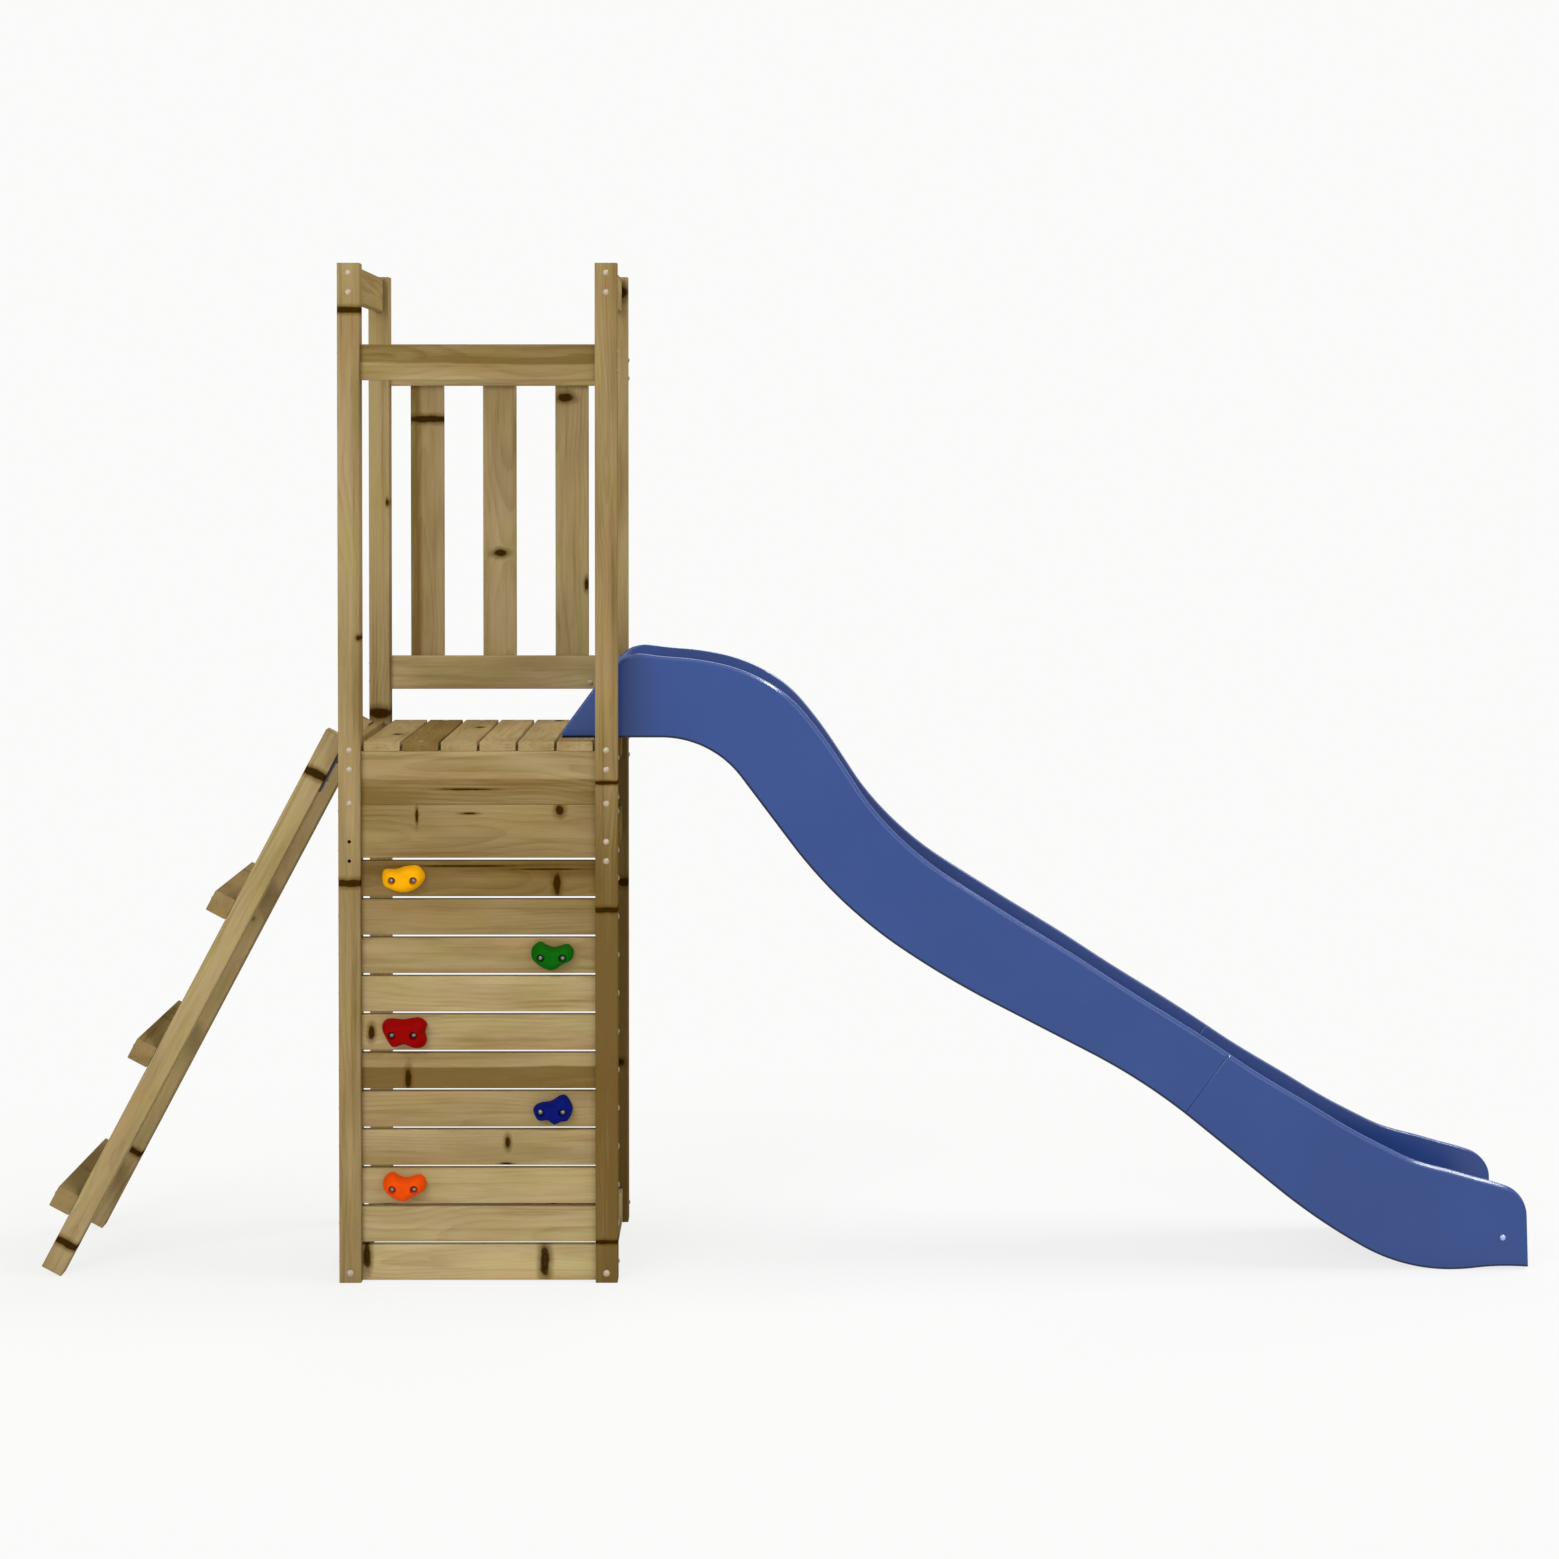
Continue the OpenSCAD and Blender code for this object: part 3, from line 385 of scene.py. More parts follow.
# Climbing boards, counted from the ground: tone, knots and band
CLIMBING_BOARDS = {
    1: (0.0, [(-214, 14, 7, 26), (126, 2, 9, 32)], NO_BAND),
    2: (0.20, [], (-0.012, 0.012, 0.10)),
    3: (0.25, [], NO_BAND),
    4: (0.33, [(55, 9, 5, 11), (52, -31, 10, 2)], (0.020, 0.006, 0.12)),
    5: (0.47, [], (-0.022, 0.010, 0.18)),
    6: (0.47, [(-134, -16, 5.5, 20)], (0.006, 0.005, 0.86)),
    7: (0.34, [(-204, 0, 6, 13)], NO_BAND),
    8: (0.28, [], NO_BAND),
    9: (0.46, [], (0.006, 0.004, 0.12)),
    10: (0.70, [], NO_BAND),
    11: (0.88, [(150, -12, 7, 20), (-20, 24, 90, 1.8), (130, 18, 60, 1.5)], (0.010, -0.012, 0.30)),
}
for number, (tone, knots, band) in CLIMBING_BOARDS.items():
    dress_timber(f"climbing_board_{number}", "x", tone, knots, band)

# Deck boards from left to right: every second one has a knot, each time further along
DECK_TONES = (0.48, 0.93, 0.55, 0.40, 0.48, 0.40)
DECK_KNOT_START = -150
DECK_KNOT_STEP = 70
for number, tone in enumerate(DECK_TONES, start=1):
    along = DECK_KNOT_START + DECK_KNOT_STEP * number
    dress_timber(f"deck_board_{number}", "y_flat", tone, [(along, 12, 10, 7)] if number % 2 else [])

# Rails of the sides and the back, and the balusters: order of axes, tone, knots and band
RAILS = {
    "left_deck_rail": ("y_upright", 0.75, [(-60, 8, 9, 9)]),
    # The right deck rail's darkest tone is partly the wood's own and partly painted shade from the slide
    # above it
    "right_deck_rail": ("y_upright", 1.0, [(-60, 8, 9, 9)]),
    "right_lower_rail": ("y_upright", 1.0, [(-60, 8, 9, 9)]),
    "left_bottom_rail": ("y_upright", 0.6, [(90, -10, 8, 8)]),
    "right_bottom_rail": ("y_upright", 0.4, [(90, -10, 8, 8)]),
    "left_top_rail": ("y_upright", 0.55, [(-150, -10, 5, 6)]),
    "right_top_rail": ("y_upright", 0.5, [(-150, -10, 5, 6)]),
    "back_bottom_rail": ("x", 0.6, [(110, 6, 9, 10)]),
    "deck_ledger": ("x", 0.5, [(-60, 0, 8, 9)]),
    "back_guard_rail": ("x", 0.42, [(60, -6, 8, 8)]),
    "back_lower_rail": ("x", 0.28),
    "baluster_1": ("z", 0.47, [(209, 4, 7, 60)], (-0.012, 0.012, 0.62)),
    "baluster_2": ("z", 0.32, [(-66, 2, 7, 14)]),
    "baluster_3": ("z", 0.38, [(253, -14, 9, 16), (-130, 30, 12, 4)]),
}
for name, settings in RAILS.items():
    dress_timber(name, *settings)

# Ladder, with treads counted from the ground
TREAD_TONES = (0.72, 0.75, 0.66)
TREAD_KNOT_START = -90
TREAD_KNOT_STEP = 60
dress_timber("ladder_stringer_front", "z", 0.38, [(500, 0, 8, 45), (-523, 4, 7, 45)], lean=LADDER_LEAN)
dress_timber("ladder_stringer_back", "z", 0.50, [(-414, 4, 6, 40), (120, -8, 4, 6)], lean=LADDER_LEAN)
for number, tone in enumerate(TREAD_TONES, start=1):
    along = TREAD_KNOT_START + TREAD_KNOT_STEP * number
    dress_timber(f"ladder_tread_{number}", "y_upright", tone, [(along, 6, 8, 9)], lean=LADDER_LEAN)

# Ramps of noise in the materials below: where each sets in and is full, then its values there.
# Blue moulded polyethylene: faint mottling, fine grain and scuffs, painted shade along the foot and a matte
# underside
SLIDE_DEEP_BLUE = (0.0195, 0.056, 0.221)
SLIDE_BLUE = (0.0235, 0.062, 0.238)
SLIDE_SCUFF = (0.040, 0.090, 0.285)
# Painted shade: a near-black blue for the foot of the skirt
SLIDE_FOOT_SHADE = (0.002, 0.009, 0.040)
SLIDE_MOTTLE = (0.3, 0.7)
MOTTLE_ROUGHNESS = 0.05
MOTTLE_HEIGHT = 2.0
SCUFF_SCALES = (6, 90, 6)
SCUFF_SHADE = (0.60, 0.85, 0.0, 0.14)
SCUFF_ROUGHNESS = (0.35, 0.8, 0.14, 0.24)
UNDERSIDE_ROUGHNESS = 0.60
SLIDE_SPECULAR = 0.4


def make_slide_plastic():
    material, tree, shader = new_material("slide_plastic")
    place = object_place(tree)
    cloud = noise(tree, place, scale=5.0, detail=3.0)
    grain = noise(tree, place, scale=900.0, detail=1.0)
    scuff = stretched_noise(tree, place, SCUFF_SCALES, detail=3.0)
    edge = put(tree, "ShaderNodeAttribute", attribute_name="edge").outputs["Fac"]
    under = put(tree, "ShaderNodeAttribute", attribute_name="under").outputs["Fac"]
    colour = blend_colour(tree, ramp(tree, cloud, *SLIDE_MOTTLE), SLIDE_DEEP_BLUE, SLIDE_BLUE)
    colour = blend_colour(tree, ramp(tree, scuff, *SCUFF_SHADE), colour, SLIDE_SCUFF)
    # Painted shade on the points marked as edge, at the foot of the skirt
    colour = blend_colour(tree, edge, colour, SLIDE_FOOT_SHADE)
    tree.links.new(colour, shader.inputs["Base Color"])
    mottle = calc(tree, "MULTIPLY", cloud, MOTTLE_ROUGHNESS)
    rough = calc(tree, "ADD", ramp(tree, scuff, *SCUFF_ROUGHNESS), mottle)
    rough = calc(tree, "ADD", rough, calc(tree, "MULTIPLY", under, UNDERSIDE_ROUGHNESS))
    tree.links.new(rough, shader.inputs["Roughness"])
    shader.inputs["Specular IOR Level"].default_value = SLIDE_SPECULAR
    height = calc(tree, "ADD", grain, calc(tree, "MULTIPLY", cloud, MOTTLE_HEIGHT))
    add_bump(tree, shader, height, strength=0.10, distance=0.0006)
    return material


# Pigmented resin of the climbing holds: speckled, with a sandy grain
HOLD_DARKER = 0.80
HOLD_MOTTLE = (0.3, 0.7, 0.0, 0.5)
HOLD_SPECKS = (0.58, 0.72, 0.0, 0.35)
HOLD_ROUGHNESS = (0.2, 0.8, 0.36, 0.58)
HOLD_SPECULAR = 0.015


def make_hold_plastic(name, colour, speck):
    material, tree, shader = new_material(name)
    place = object_place(tree)
    grain = noise(tree, place, scale=420.0, detail=3.0, roughness=0.6)
    cloud = noise(tree, place, scale=30.0, detail=2.0)
    darker = [channel * HOLD_DARKER for channel in colour]
    tone = blend_colour(tree, ramp(tree, cloud, *HOLD_MOTTLE), colour, darker)
    tone = blend_colour(tree, ramp(tree, grain, *HOLD_SPECKS), tone, speck)
    tree.links.new(tone, shader.inputs["Base Color"])
    tree.links.new(ramp(tree, grain, *HOLD_ROUGHNESS), shader.inputs["Roughness"])
    shader.inputs["Specular IOR Level"].default_value = HOLD_SPECULAR
    add_bump(tree, shader, grain, strength=0.22, distance=0.0008)
    return material


# Steel of the fasteners: worn patches between a bright and a dull colour, and fine brush marks
WORN_COLOUR = (0.35, 0.7)
WORN_ROUGHNESS = (0.3, 0.7)
BRUSH_SCALES = (200, 1500, 200)


def make_steel(name, bright, dull, metallic, smoothest, roughest):
    material, tree, shader = new_material(name)
    place = object_place(tree)
    worn = noise(tree, place, scale=260.0, detail=3.0)
    brush = stretched_noise(tree, place, BRUSH_SCALES, detail=2.0)
    colour = blend_colour(tree, ramp(tree, worn, *WORN_COLOUR), bright, dull)
    tree.links.new(colour, shader.inputs["Base Color"])
    rough = ramp(tree, worn, *WORN_ROUGHNESS, smoothest, roughest)
    tree.links.new(rough, shader.inputs["Roughness"])
    shader.inputs["Metallic"].default_value = metallic
    add_bump(tree, shader, brush, strength=0.12, distance=0.0003)
    return material


slide_plastic = make_slide_plastic()
screw_steel = make_steel("screw_steel", (0.46, 0.38, 0.27), (0.36, 0.29, 0.20), 0.25, 0.40, 0.55)
bolt_steel = make_steel("bolt_steel", (0.25, 0.23, 0.22), (0.15, 0.14, 0.13), 0.85, 0.36, 0.52)
zinc_steel = make_steel("zinc_steel", (0.40, 0.50, 0.76), (0.30, 0.38, 0.60), 0.45, 0.24, 0.40)
coated_steel = make_steel("coated_steel", (0.27, 0.22, 0.14), (0.20, 0.16, 0.10), 0.25, 0.45, 0.6)
bracket_steel = make_steel("bracket_steel", (0.035, 0.030, 0.024), (0.060, 0.048, 0.036), 0.6, 0.4, 0.6)
FASTENERS = {
    "frame_screws": screw_steel,
    "baluster_screws": screw_steel,
    "ladder_screws": screw_steel,
    "board_screws": coated_steel,
    "deck_screws": coated_steel,
    "hold_bolts": bolt_steel,
    "hold_nuts": bolt_steel,
    "slide_bolts": zinc_steel,
    "slide_screws": zinc_steel,
    "ladder_brackets": bracket_steel,
}
for name, material in FASTENERS.items():
    dress(name, material)


# Mesh helpers
def finish_mesh(name, vertices, faces, material, sharp_degrees):
    """A linked piece, shaded smooth except over edges sharper than an angle."""
    mesh = bpy.data.meshes.new(name)
    mesh.from_pydata(vertices, [], faces)
    work = bmesh.new()
    work.from_mesh(mesh)
    bmesh.ops.recalc_face_normals(work, faces=work.faces)
    for face in work.faces:
        face.smooth = True
    limit = math.radians(sharp_degrees)
    for edge in work.edges:
        if len(edge.link_faces) == 2 and edge.calc_face_angle() > limit:
            edge.smooth = False
    work.to_mesh(mesh)
    work.free()
    mesh.materials.append(material)
    piece = bpy.data.objects.new(name, mesh)
    scene.collection.objects.link(piece)
    return piece


def strip_faces(rings, count):
    """Quads between neighbouring rings, with a count of points in each ring."""
    faces = []
    for ring in range(rings - 1):
        for k in range(count):
            here = ring * count + k
            after = ring * count + (k + 1) % count
            faces.append((here, after, after + count, here + count))
    return faces


def ease(t):
    t = min(max(t, 0.0), 1.0)
    return t * t * (3 - 2 * t)


def mix(a, b, t):
    return a + (b - a) * t


def bend_point(a, b, c, d, t):
    """A point between b and c on a smooth curve through a, b, c and d."""
    square = (2 * a - 5 * b + 4 * c - d) * t * t
    cube = (3 * b - a - 3 * c + d) * t * t * t
    return (2 * b + (c - a) * t + square + cube) / 2


# Slide: its lower edge runs through legs, each a share of its length and a turn in degrees
LEGS = ((0.086, 0), (0.080, -53), (0.074, 0), (0.133, 19), (0.093, 6.7), (0.093, 0), (0.109, -11.8),
        (0.095, 0), (0.090, 9.8), (0.079, 29.3), (0.022, 7), (0.026, -7), (0.020, -4))
LOWEST_LEG = 10
TINY = 1e-12
# Heights of the walls at even steps along the slide, from the deck to the exit, as shares of WALL_H
WALL_SHARES = (1.13, 0.955, 1.065, 1.01, 1.005, 1.01, 0.945, 0.845, 0.88, 1.03, 1.15, 1.18, 0.90)
WALL_H = 0.165
SLIDE_HALF = 0.150
SKIN = 0.005
BED = 0.024
BED_FILLET = 0.040
FILLET_MOST_SHARE = 0.75
EXIT_CORNER = 0.040
# The section's lean is averaged over places this share of the length apart, and tilts at the exit
WINDOW_SHARE = 0.03
WINDOW_REACH = 2
EXIT_TILT = math.radians(3)
EXIT_TILT_START_SHARE = 0.90
EXIT_TILT_RUN_SHARE = 0.10
# Tongue on the deck: low and thin, with walls that rise from it
TONGUE = 0.110
TONGUE_FLAT_SHARE = 0.41
TONGUE_BLEND_SHARE = 0.6
TONGUE_RIM = SKIN * 1.2
TONGUE_BED = SKIN * 1.1
TONGUE_WALL = SKIN * 2.8
TONGUE_SLOPE = 1.35
RISE_BLEND = WALL_H * 0.26
# Rim: arcs in degrees below and above a sloping facet outside, and a tighter corner inside
RIM = 0.009
RIM_BELOW = (8, 16, 23, 29)
RIM_ABOVE = (69, 76, 83, 90)
RIM_EASE_SHARE = 0.12
RIM_CORNER_SHARE = 0.28
RIM_DROP_SHARE = 0.12
LEAST_CORNER = SKIN * 0.12
CORNER_STEPS = 4
FILLET_STEPS = 9
# Foot of the skirt
FOOT = 0.004
FOOT_TOP = FOOT * 1.3
FOOT_STEPS = 4
# Seam: a bulkhead closes each section, and the skin draws in by a lip beside a narrow gap
SEAM_SHARE = 0.658
SEAM_GAP = 0.0003
LIP = 0.0008
LIP_RUN = 0.0009
BULKHEAD_STEP_SHARE = 0.0004
BULKHEAD_RISE = 0.002
BULKHEAD_SPREAD = 0.00015
# Stations along the slide: close together over the tongue and the crest
CREST_START_SHARE = 0.085
CREST_END_SHARE = 0.25
TONGUE_STATIONS = 30
CREST_STATIONS = 46
UPPER_STATIONS = 60
LOWER_STATIONS = 70
EXIT_STATIONS = 14
EXIT_LIP_SHARE = 0.5
SHARP_SLIDE = 40


def leg_move(start, share, turn, along):
    """The place and heading after a run along one leg."""
    x, z, heading = start
    if turn == 0:
        return (x + along * math.cos(heading), z + along * math.sin(heading), heading)
    now = heading + math.radians(turn) * along / share
    bend = share / math.radians(turn)
    end_x = x + bend * (math.sin(now) - math.sin(heading))
    end_z = z + bend * (math.cos(heading) - math.cos(now))
    return (end_x, end_z, now)


starts = [(0.0, 0.0, 0.0)]
sums = [0.0]
for share, turn in LEGS:
    starts.append(leg_move(starts[-1], share, turn, share))
    sums.append(sums[-1] + share)
slide_length = -DECK_TOP / starts[LOWEST_LEG][1]


# Places along the slide are shares of its length. Points of its section are (across, up)
def path_at(along):
    leg = max(k for k in range(len(LEGS)) if sums[k] <= along + TINY)
    return leg_move(starts[leg], *LEGS[leg], along - sums[leg])


def section_angle(along):
    reach = range(-WINDOW_REACH, WINDOW_REACH + 1)
    places = [min(max(along + k * WINDOW_SHARE, 0.0), 1.0) for k in reach]
    average = sum(path_at(place)[2] for place in places) / len(places)
    return average + EXIT_TILT * ease((along - EXIT_TILT_START_SHARE) / EXIT_TILT_RUN_SHARE)


def wall_at(along):
    """Height of the wall: it rises from the tongue, follows WALL_SHARES and is rounded off at the exit."""
    steps = len(WALL_SHARES) - 1
    step = min(int(along * steps), steps - 1)
    heights = [WALL_SHARES[min(max(step + k, 0), steps)] for k in (-1, 0, 1, 2)]
    plain = WALL_H * bend_point(*heights, along * steps - step)
    rise = TONGUE_WALL + TONGUE_SLOPE * along * slide_length
    overlap = max(RISE_BLEND - abs(rise - plain), 0.0)
    left = (1 - along) * slide_length
    cut = 0.0
    if left < EXIT_CORNER:
        cut = EXIT_CORNER - math.sqrt(max(EXIT_CORNER ** 2 - (EXIT_CORNER - left) ** 2, 0.0))
    return min(rise, plain) - overlap * overlap / (4 * RISE_BLEND) - cut


def arc(centre, radius, angles):
    points = []
    for angle in angles:
        points.append((centre[0] + radius * math.cos(angle), centre[1] + radius * math.sin(angle)))
    return points


def quarter_turn(start, end, steps):
    """Angles from one right angle to the next, counted in right angles."""
    return [math.pi / 2 * mix(start, end, k / steps) for k in range(steps + 1)]


def skin_side(along, lip, thickness):
    """One side of the skin, from its foot over the rim to the bed, drawn in by a lip and a thickness."""
    inset = lip + thickness
    face = SLIDE_HALF - inset
    wall = wall_at(along)
    start = ease((along * slide_length - TONGUE * TONGUE_FLAT_SHARE) / (TONGUE * TONGUE_BLEND_SHARE))
    rim = mix(TONGUE_RIM, RIM, start)
    bed = mix(TONGUE_BED, BED, start)
    fillet = min(BED_FILLET, (wall - rim - bed) * FILLET_MOST_SHARE)

    # Foot, round on the outside of the skin only, and the face up to the rim
    foot = FOOT if thickness == 0 else 0.0
    side = []
    for angle in quarter_turn(-1, 0, FOOT_STEPS):
        side.append((face - foot * (1 - math.cos(angle)), FOOT * (1 + math.sin(angle))))
    side += [(face, FOOT_TOP), (face, wall - rim)]

    # Rim, with its facet between two arcs, and its inner corner
    rim_centre = (SLIDE_HALF - rim, wall - rim)
    below = arc(rim_centre, rim - inset, [math.radians(degrees) for degrees in RIM_BELOW])
    above = arc(rim_centre, rim - inset, [math.radians(degrees) for degrees in RIM_ABOVE])
    side += below
    for share in (RIM_EASE_SHARE, 1 - RIM_EASE_SHARE):
        side.append(tuple(mix(low, high, share) for low, high in zip(below[-1], above[0])))
    side += above
    corner = max(rim * RIM_CORNER_SHARE - inset, LEAST_CORNER)
    corner_centre = (SLIDE_HALF - 2 * rim + inset + corner, wall - rim * RIM_DROP_SHARE - inset - corner)
    side += arc(corner_centre, corner, quarter_turn(1, 2, CORNER_STEPS))

    # Fillet into the bed
    fillet_centre = (SLIDE_HALF - 2 * rim - fillet, bed + fillet)
    return side + arc(fillet_centre, fillet + inset, quarter_turn(0, -1, FILLET_STEPS))


def foot_side(side):
    """The inside of the skin drawn down to the foot, where a bulkhead closes the section."""
    low = []
    for k, (across, _) in enumerate(side):
        across = across - k * BULKHEAD_SPREAD
        low.append((across, BULKHEAD_RISE * (1 - (across / SLIDE_HALF) ** 2)))
    return low


def both_sides(side):
    return side + [(-across, up) for across, up in reversed(side)]


def slide_ring(along, lip, closed):
    """The closed outline of the section: over the top, then back inside."""
    path_x, path_z, _ = path_at(along)
    angle = section_angle(along)
    top = skin_side(along, lip, 0.0)
    under = skin_side(along, 0.0, SKIN)
    if closed:
        under = foot_side(under)
    section = both_sides(top) + both_sides(under)[::-1]
    x0 = TOWER_X + TOWER_W / 2 - TONGUE + slide_length * path_x
    y0 = TOWER_Y + TOWER_D / 2
    z0 = DECK_TOP + slide_length * path_z
    return [(x0 - up * math.sin(angle), y0 + across, z0 + up * math.cos(angle)) for across, up in section]


def mark_points(piece, name, values):
    marks = piece.data.attributes.new(name, "FLOAT", "POINT")
    for mark, value in zip(marks.data, values):
        mark.value = value


def loft_slide(name, stations):
    rings = [slide_ring(*station) for station in stations]
    count = len(rings[0])
    half = count // 2
    vertices = [point for ring in rings for point in ring]
    faces = strip_faces(len(rings), count)

    # The two ends are closed by faces between the top and the inside
    last = (len(rings) - 1) * count
    for k in range(half - 1):
        faces.append((k, count - 1 - k, count - 2 - k, k + 1))
        faces.append((last + k, last + k + 1, last + count - 2 - k, last + count - 1 - k))
    piece = finish_mesh(name, vertices, faces, slide_plastic, SHARP_SLIDE)

    # Steps count from the nearer foot along the top, and are below zero on the inside
    steps = [min(k % count, half - 1 - k % count) for k in range(len(vertices))]
    # Points of the foot are marked as edge, where the slide material paints shade; inside points are marked
    # as under, for a matte finish
    mark_points(piece, "edge", [1.0 if 0 <= step <= FOOT_STEPS else 0.0 for step in steps])
    mark_points(piece, "under", [1.0 if step < 0 else 0.0 for step in steps])
    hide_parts(name.replace("_shell", ""))
    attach(piece, "root")


def open_run(start, end, count):
    """Even stations from a start up to, but without, an end."""
    return [(mix(start, end, k / count), 0.0, False) for k in range(count)]


# Stations are (place along the slide, lip, closed by a bulkhead)
skin_share = SKIN / slide_length
lip_share = LIP_RUN / slide_length
gap_share = SEAM_GAP / slide_length
corner_share = EXIT_CORNER / slide_length
upper_end = SEAM_SHARE - gap_share
lower_start = SEAM_SHARE + gap_share
upper = open_run(0, CREST_START_SHARE, TONGUE_STATIONS)
upper += open_run(CREST_START_SHARE, CREST_END_SHARE, CREST_STATIONS)
upper += open_run(CREST_END_SHARE, upper_end - 2 * skin_share, UPPER_STATIONS)
upper += [
    (upper_end - skin_share - BULKHEAD_STEP_SHARE, 0.0, False),
    (upper_end - skin_share, 0.0, True),
    (upper_end - lip_share, 0.0, True),
    (upper_end, LIP, True),
]
lower = [
    (lower_start, LIP, True),
    (lower_start + lip_share, 0.0, True),
    (lower_start + skin_share, 0.0, True),
    (lower_start + skin_share + BULKHEAD_STEP_SHARE, 0.0, False),
]
lower += open_run(lower_start + 2 * skin_share, 1 - corner_share, LOWER_STATIONS)
# The exit's round corner has stations closer and closer together, in among those of its bulkhead
for k in range(EXIT_STATIONS - 1):
    left = 1 - math.sin(math.pi / 2 * k / EXIT_STATIONS)
    lower.append((1 - corner_share * left, 0.0, False))
lower += [
    (1 - skin_share - BULKHEAD_STEP_SHARE, 0.0, False),
    (1 - skin_share, 0.0, True),
    (1 - lip_share * EXIT_LIP_SHARE, 0.0, True),
    (1, LIP * EXIT_LIP_SHARE, True),
]
loft_slide("slide_upper_shell", upper)
loft_slide("slide_lower_shell", sorted(lower))

# Climbing holds: outlines as shares of half the width and height, swelling out of the board
HOLD_DEPTH = 0.034
HOLD_TOP = math.radians(72)
HOLD_SWELL = 0.62
HOLD_RINGS = 20
CROWN_RINGS = 6
EDGE_STEPS = 10
BOLT_OUT = 0.0205
BOLT_SEAT = HOLD_DEPTH * 0.72
HEAD_BORE = 0.0078
SHANK_BORE = 0.0043
BORE_SIDES = 40
OVERRUN = 0.01
SHARP_RAW = 60
SHARP_HOLD = 40
LOBED = ((-0.59, 0.97), (-0.25, 0.75), (0.12, 0.60), (0.72, 0.80), (0.98, 0.36), (0.91, -0.25),
         (0.47, -0.60), (0.03, -0.98), (-0.47, -0.78), (-0.94, -0.21), (-0.95, 0.53))
OUTLINES = {
    "yellow": ((-0.94, 0.65), (-0.40, 0.72), (0.10, 0.95), (0.67, 0.95), (0.97, 0.19),
               (0.67, -0.60), (0.04, -0.98), (-0.62, -0.74), (-0.97, -0.33)),
    "green": LOBED,
    "red": ((-0.96, 0.39), (-0.73, 0.88), (0.00, 0.86), (0.63, 0.98), (0.97, 0.59), (0.90, 0.06),
            (0.97, -0.47), (0.83, -0.88), (0.48, -0.96), (0.02, -0.71), (-0.47, -0.90), (-0.76, -0.39)),
    "blue": ((-0.95, 0.00), (-0.66, 0.42), (-0.07, 0.58), (0.36, 0.93), (0.69, 0.89), (0.98, 0.09),
             (0.79, -0.67), (0.43, -0.80), (0.10, -0.98), (-0.26, -0.67), (-0.72, -0.67)),
    "orange": LOBED,
}
# The colour of each hold and of its specks
HOLD_COLOURS = {
    "yellow": ((0.88, 0.40, 0.003), (1.0, 0.55, 0.02)),
    "green": ((0.004, 0.115, 0.003), (0.010, 0.19, 0.010)),
    "red": ((0.285, 0.0015, 0.0015), (0.42, 0.008, 0.008)),
    "blue": ((0.003, 0.008, 0.150), (0.010, 0.025, 0.24)),
    "orange": ((0.82, 0.075, 0.003), (0.95, 0.15, 0.012)),
}


def hold_outline(points, size):
    """A smooth closed curve through the points, scaled to the width and height of a hold."""
    count = len(points)
    edge = []
    for number in range(count):
        near = [Vector(points[(number + k) % count]) for k in (-1, 0, 1, 2)]
        edge += [bend_point(*near, k / EDGE_STEPS) for k in range(EDGE_STEPS)]
    across = size.x / (max(point.x for point in edge) - min(point.x for point in edge))
    up = size.z / (max(point.y for point in edge) - min(point.y for point in edge))
    return [(point.x * across, point.y * up) for point in edge]


def hold_shell(edge, x0, back_y, z0):
    """Rings that swell from the board to a flat crown, closed at the crown and at the back."""
    vertices = []
    for k in range(HOLD_RINGS + 1):
        angle = HOLD_TOP * k / HOLD_RINGS
        scale = math.cos(angle) ** HOLD_SWELL
        out = HOLD_DEPTH * math.sin(angle) / math.sin(HOLD_TOP)
        vertices += [(x0 + x * scale, back_y - out, z0 + z * scale) for x, z in edge]
    rim = math.cos(HOLD_TOP) ** HOLD_SWELL
    for k in range(1, CROWN_RINGS):
        share = 1 - k / CROWN_RINGS
        vertices += [(x0 + x * rim * share, back_y - HOLD_DEPTH, z0 + z * rim * share) for x, z in edge]
    vertices += [(x0, back_y - HOLD_DEPTH, z0), (x0, back_y, z0)]
    crown_middle = len(vertices) - 2
    back_middle = len(vertices) - 1
    count = len(edge)
    rings = HOLD_RINGS + CROWN_RINGS
    faces = strip_faces(rings, count)
    last = (rings - 1) * count
    for here in range(count):
        after = (here + 1) % count
        faces.append((last + here, last + after, crown_middle))
        faces.append((after, here, back_middle))
    return vertices, faces


def bore(name, radius, x, y, z, low, high):
    """A round cutter whose axis runs from front to back."""
    cutter = bmesh.new()
    bmesh.ops.create_cone(cutter, cap_ends=True, segments=BORE_SIDES, radius1=radius, radius2=radius,
                          depth=high - low)
    bmesh.ops.rotate(cutter, verts=cutter.verts, matrix=Matrix.Rotation(math.pi / 2, 3, "X"))
    bmesh.ops.translate(cutter, verts=cutter.verts, vec=(x, y - (low + high) / 2, z))
    mesh = bpy.data.meshes.new(name)
    cutter.to_mesh(mesh)
    cutter.free()
    piece = bpy.data.objects.new(name, mesh)
    scene.collection.objects.link(piece)
    return piece


def cut_away(piece, cutter):
    cut = piece.modifiers.new("bore", "BOOLEAN")
    cut.operation = "DIFFERENCE"
    cut.solver = "EXACT"
    cut.object = cutter
    shaped = piece.evaluated_get(bpy.context.evaluated_depsgraph_get())
    mesh = bpy.data.meshes.new_from_object(shaped)
    piece.modifiers.clear()
    piece.data = mesh
    bpy.data.objects.remove(cutter)


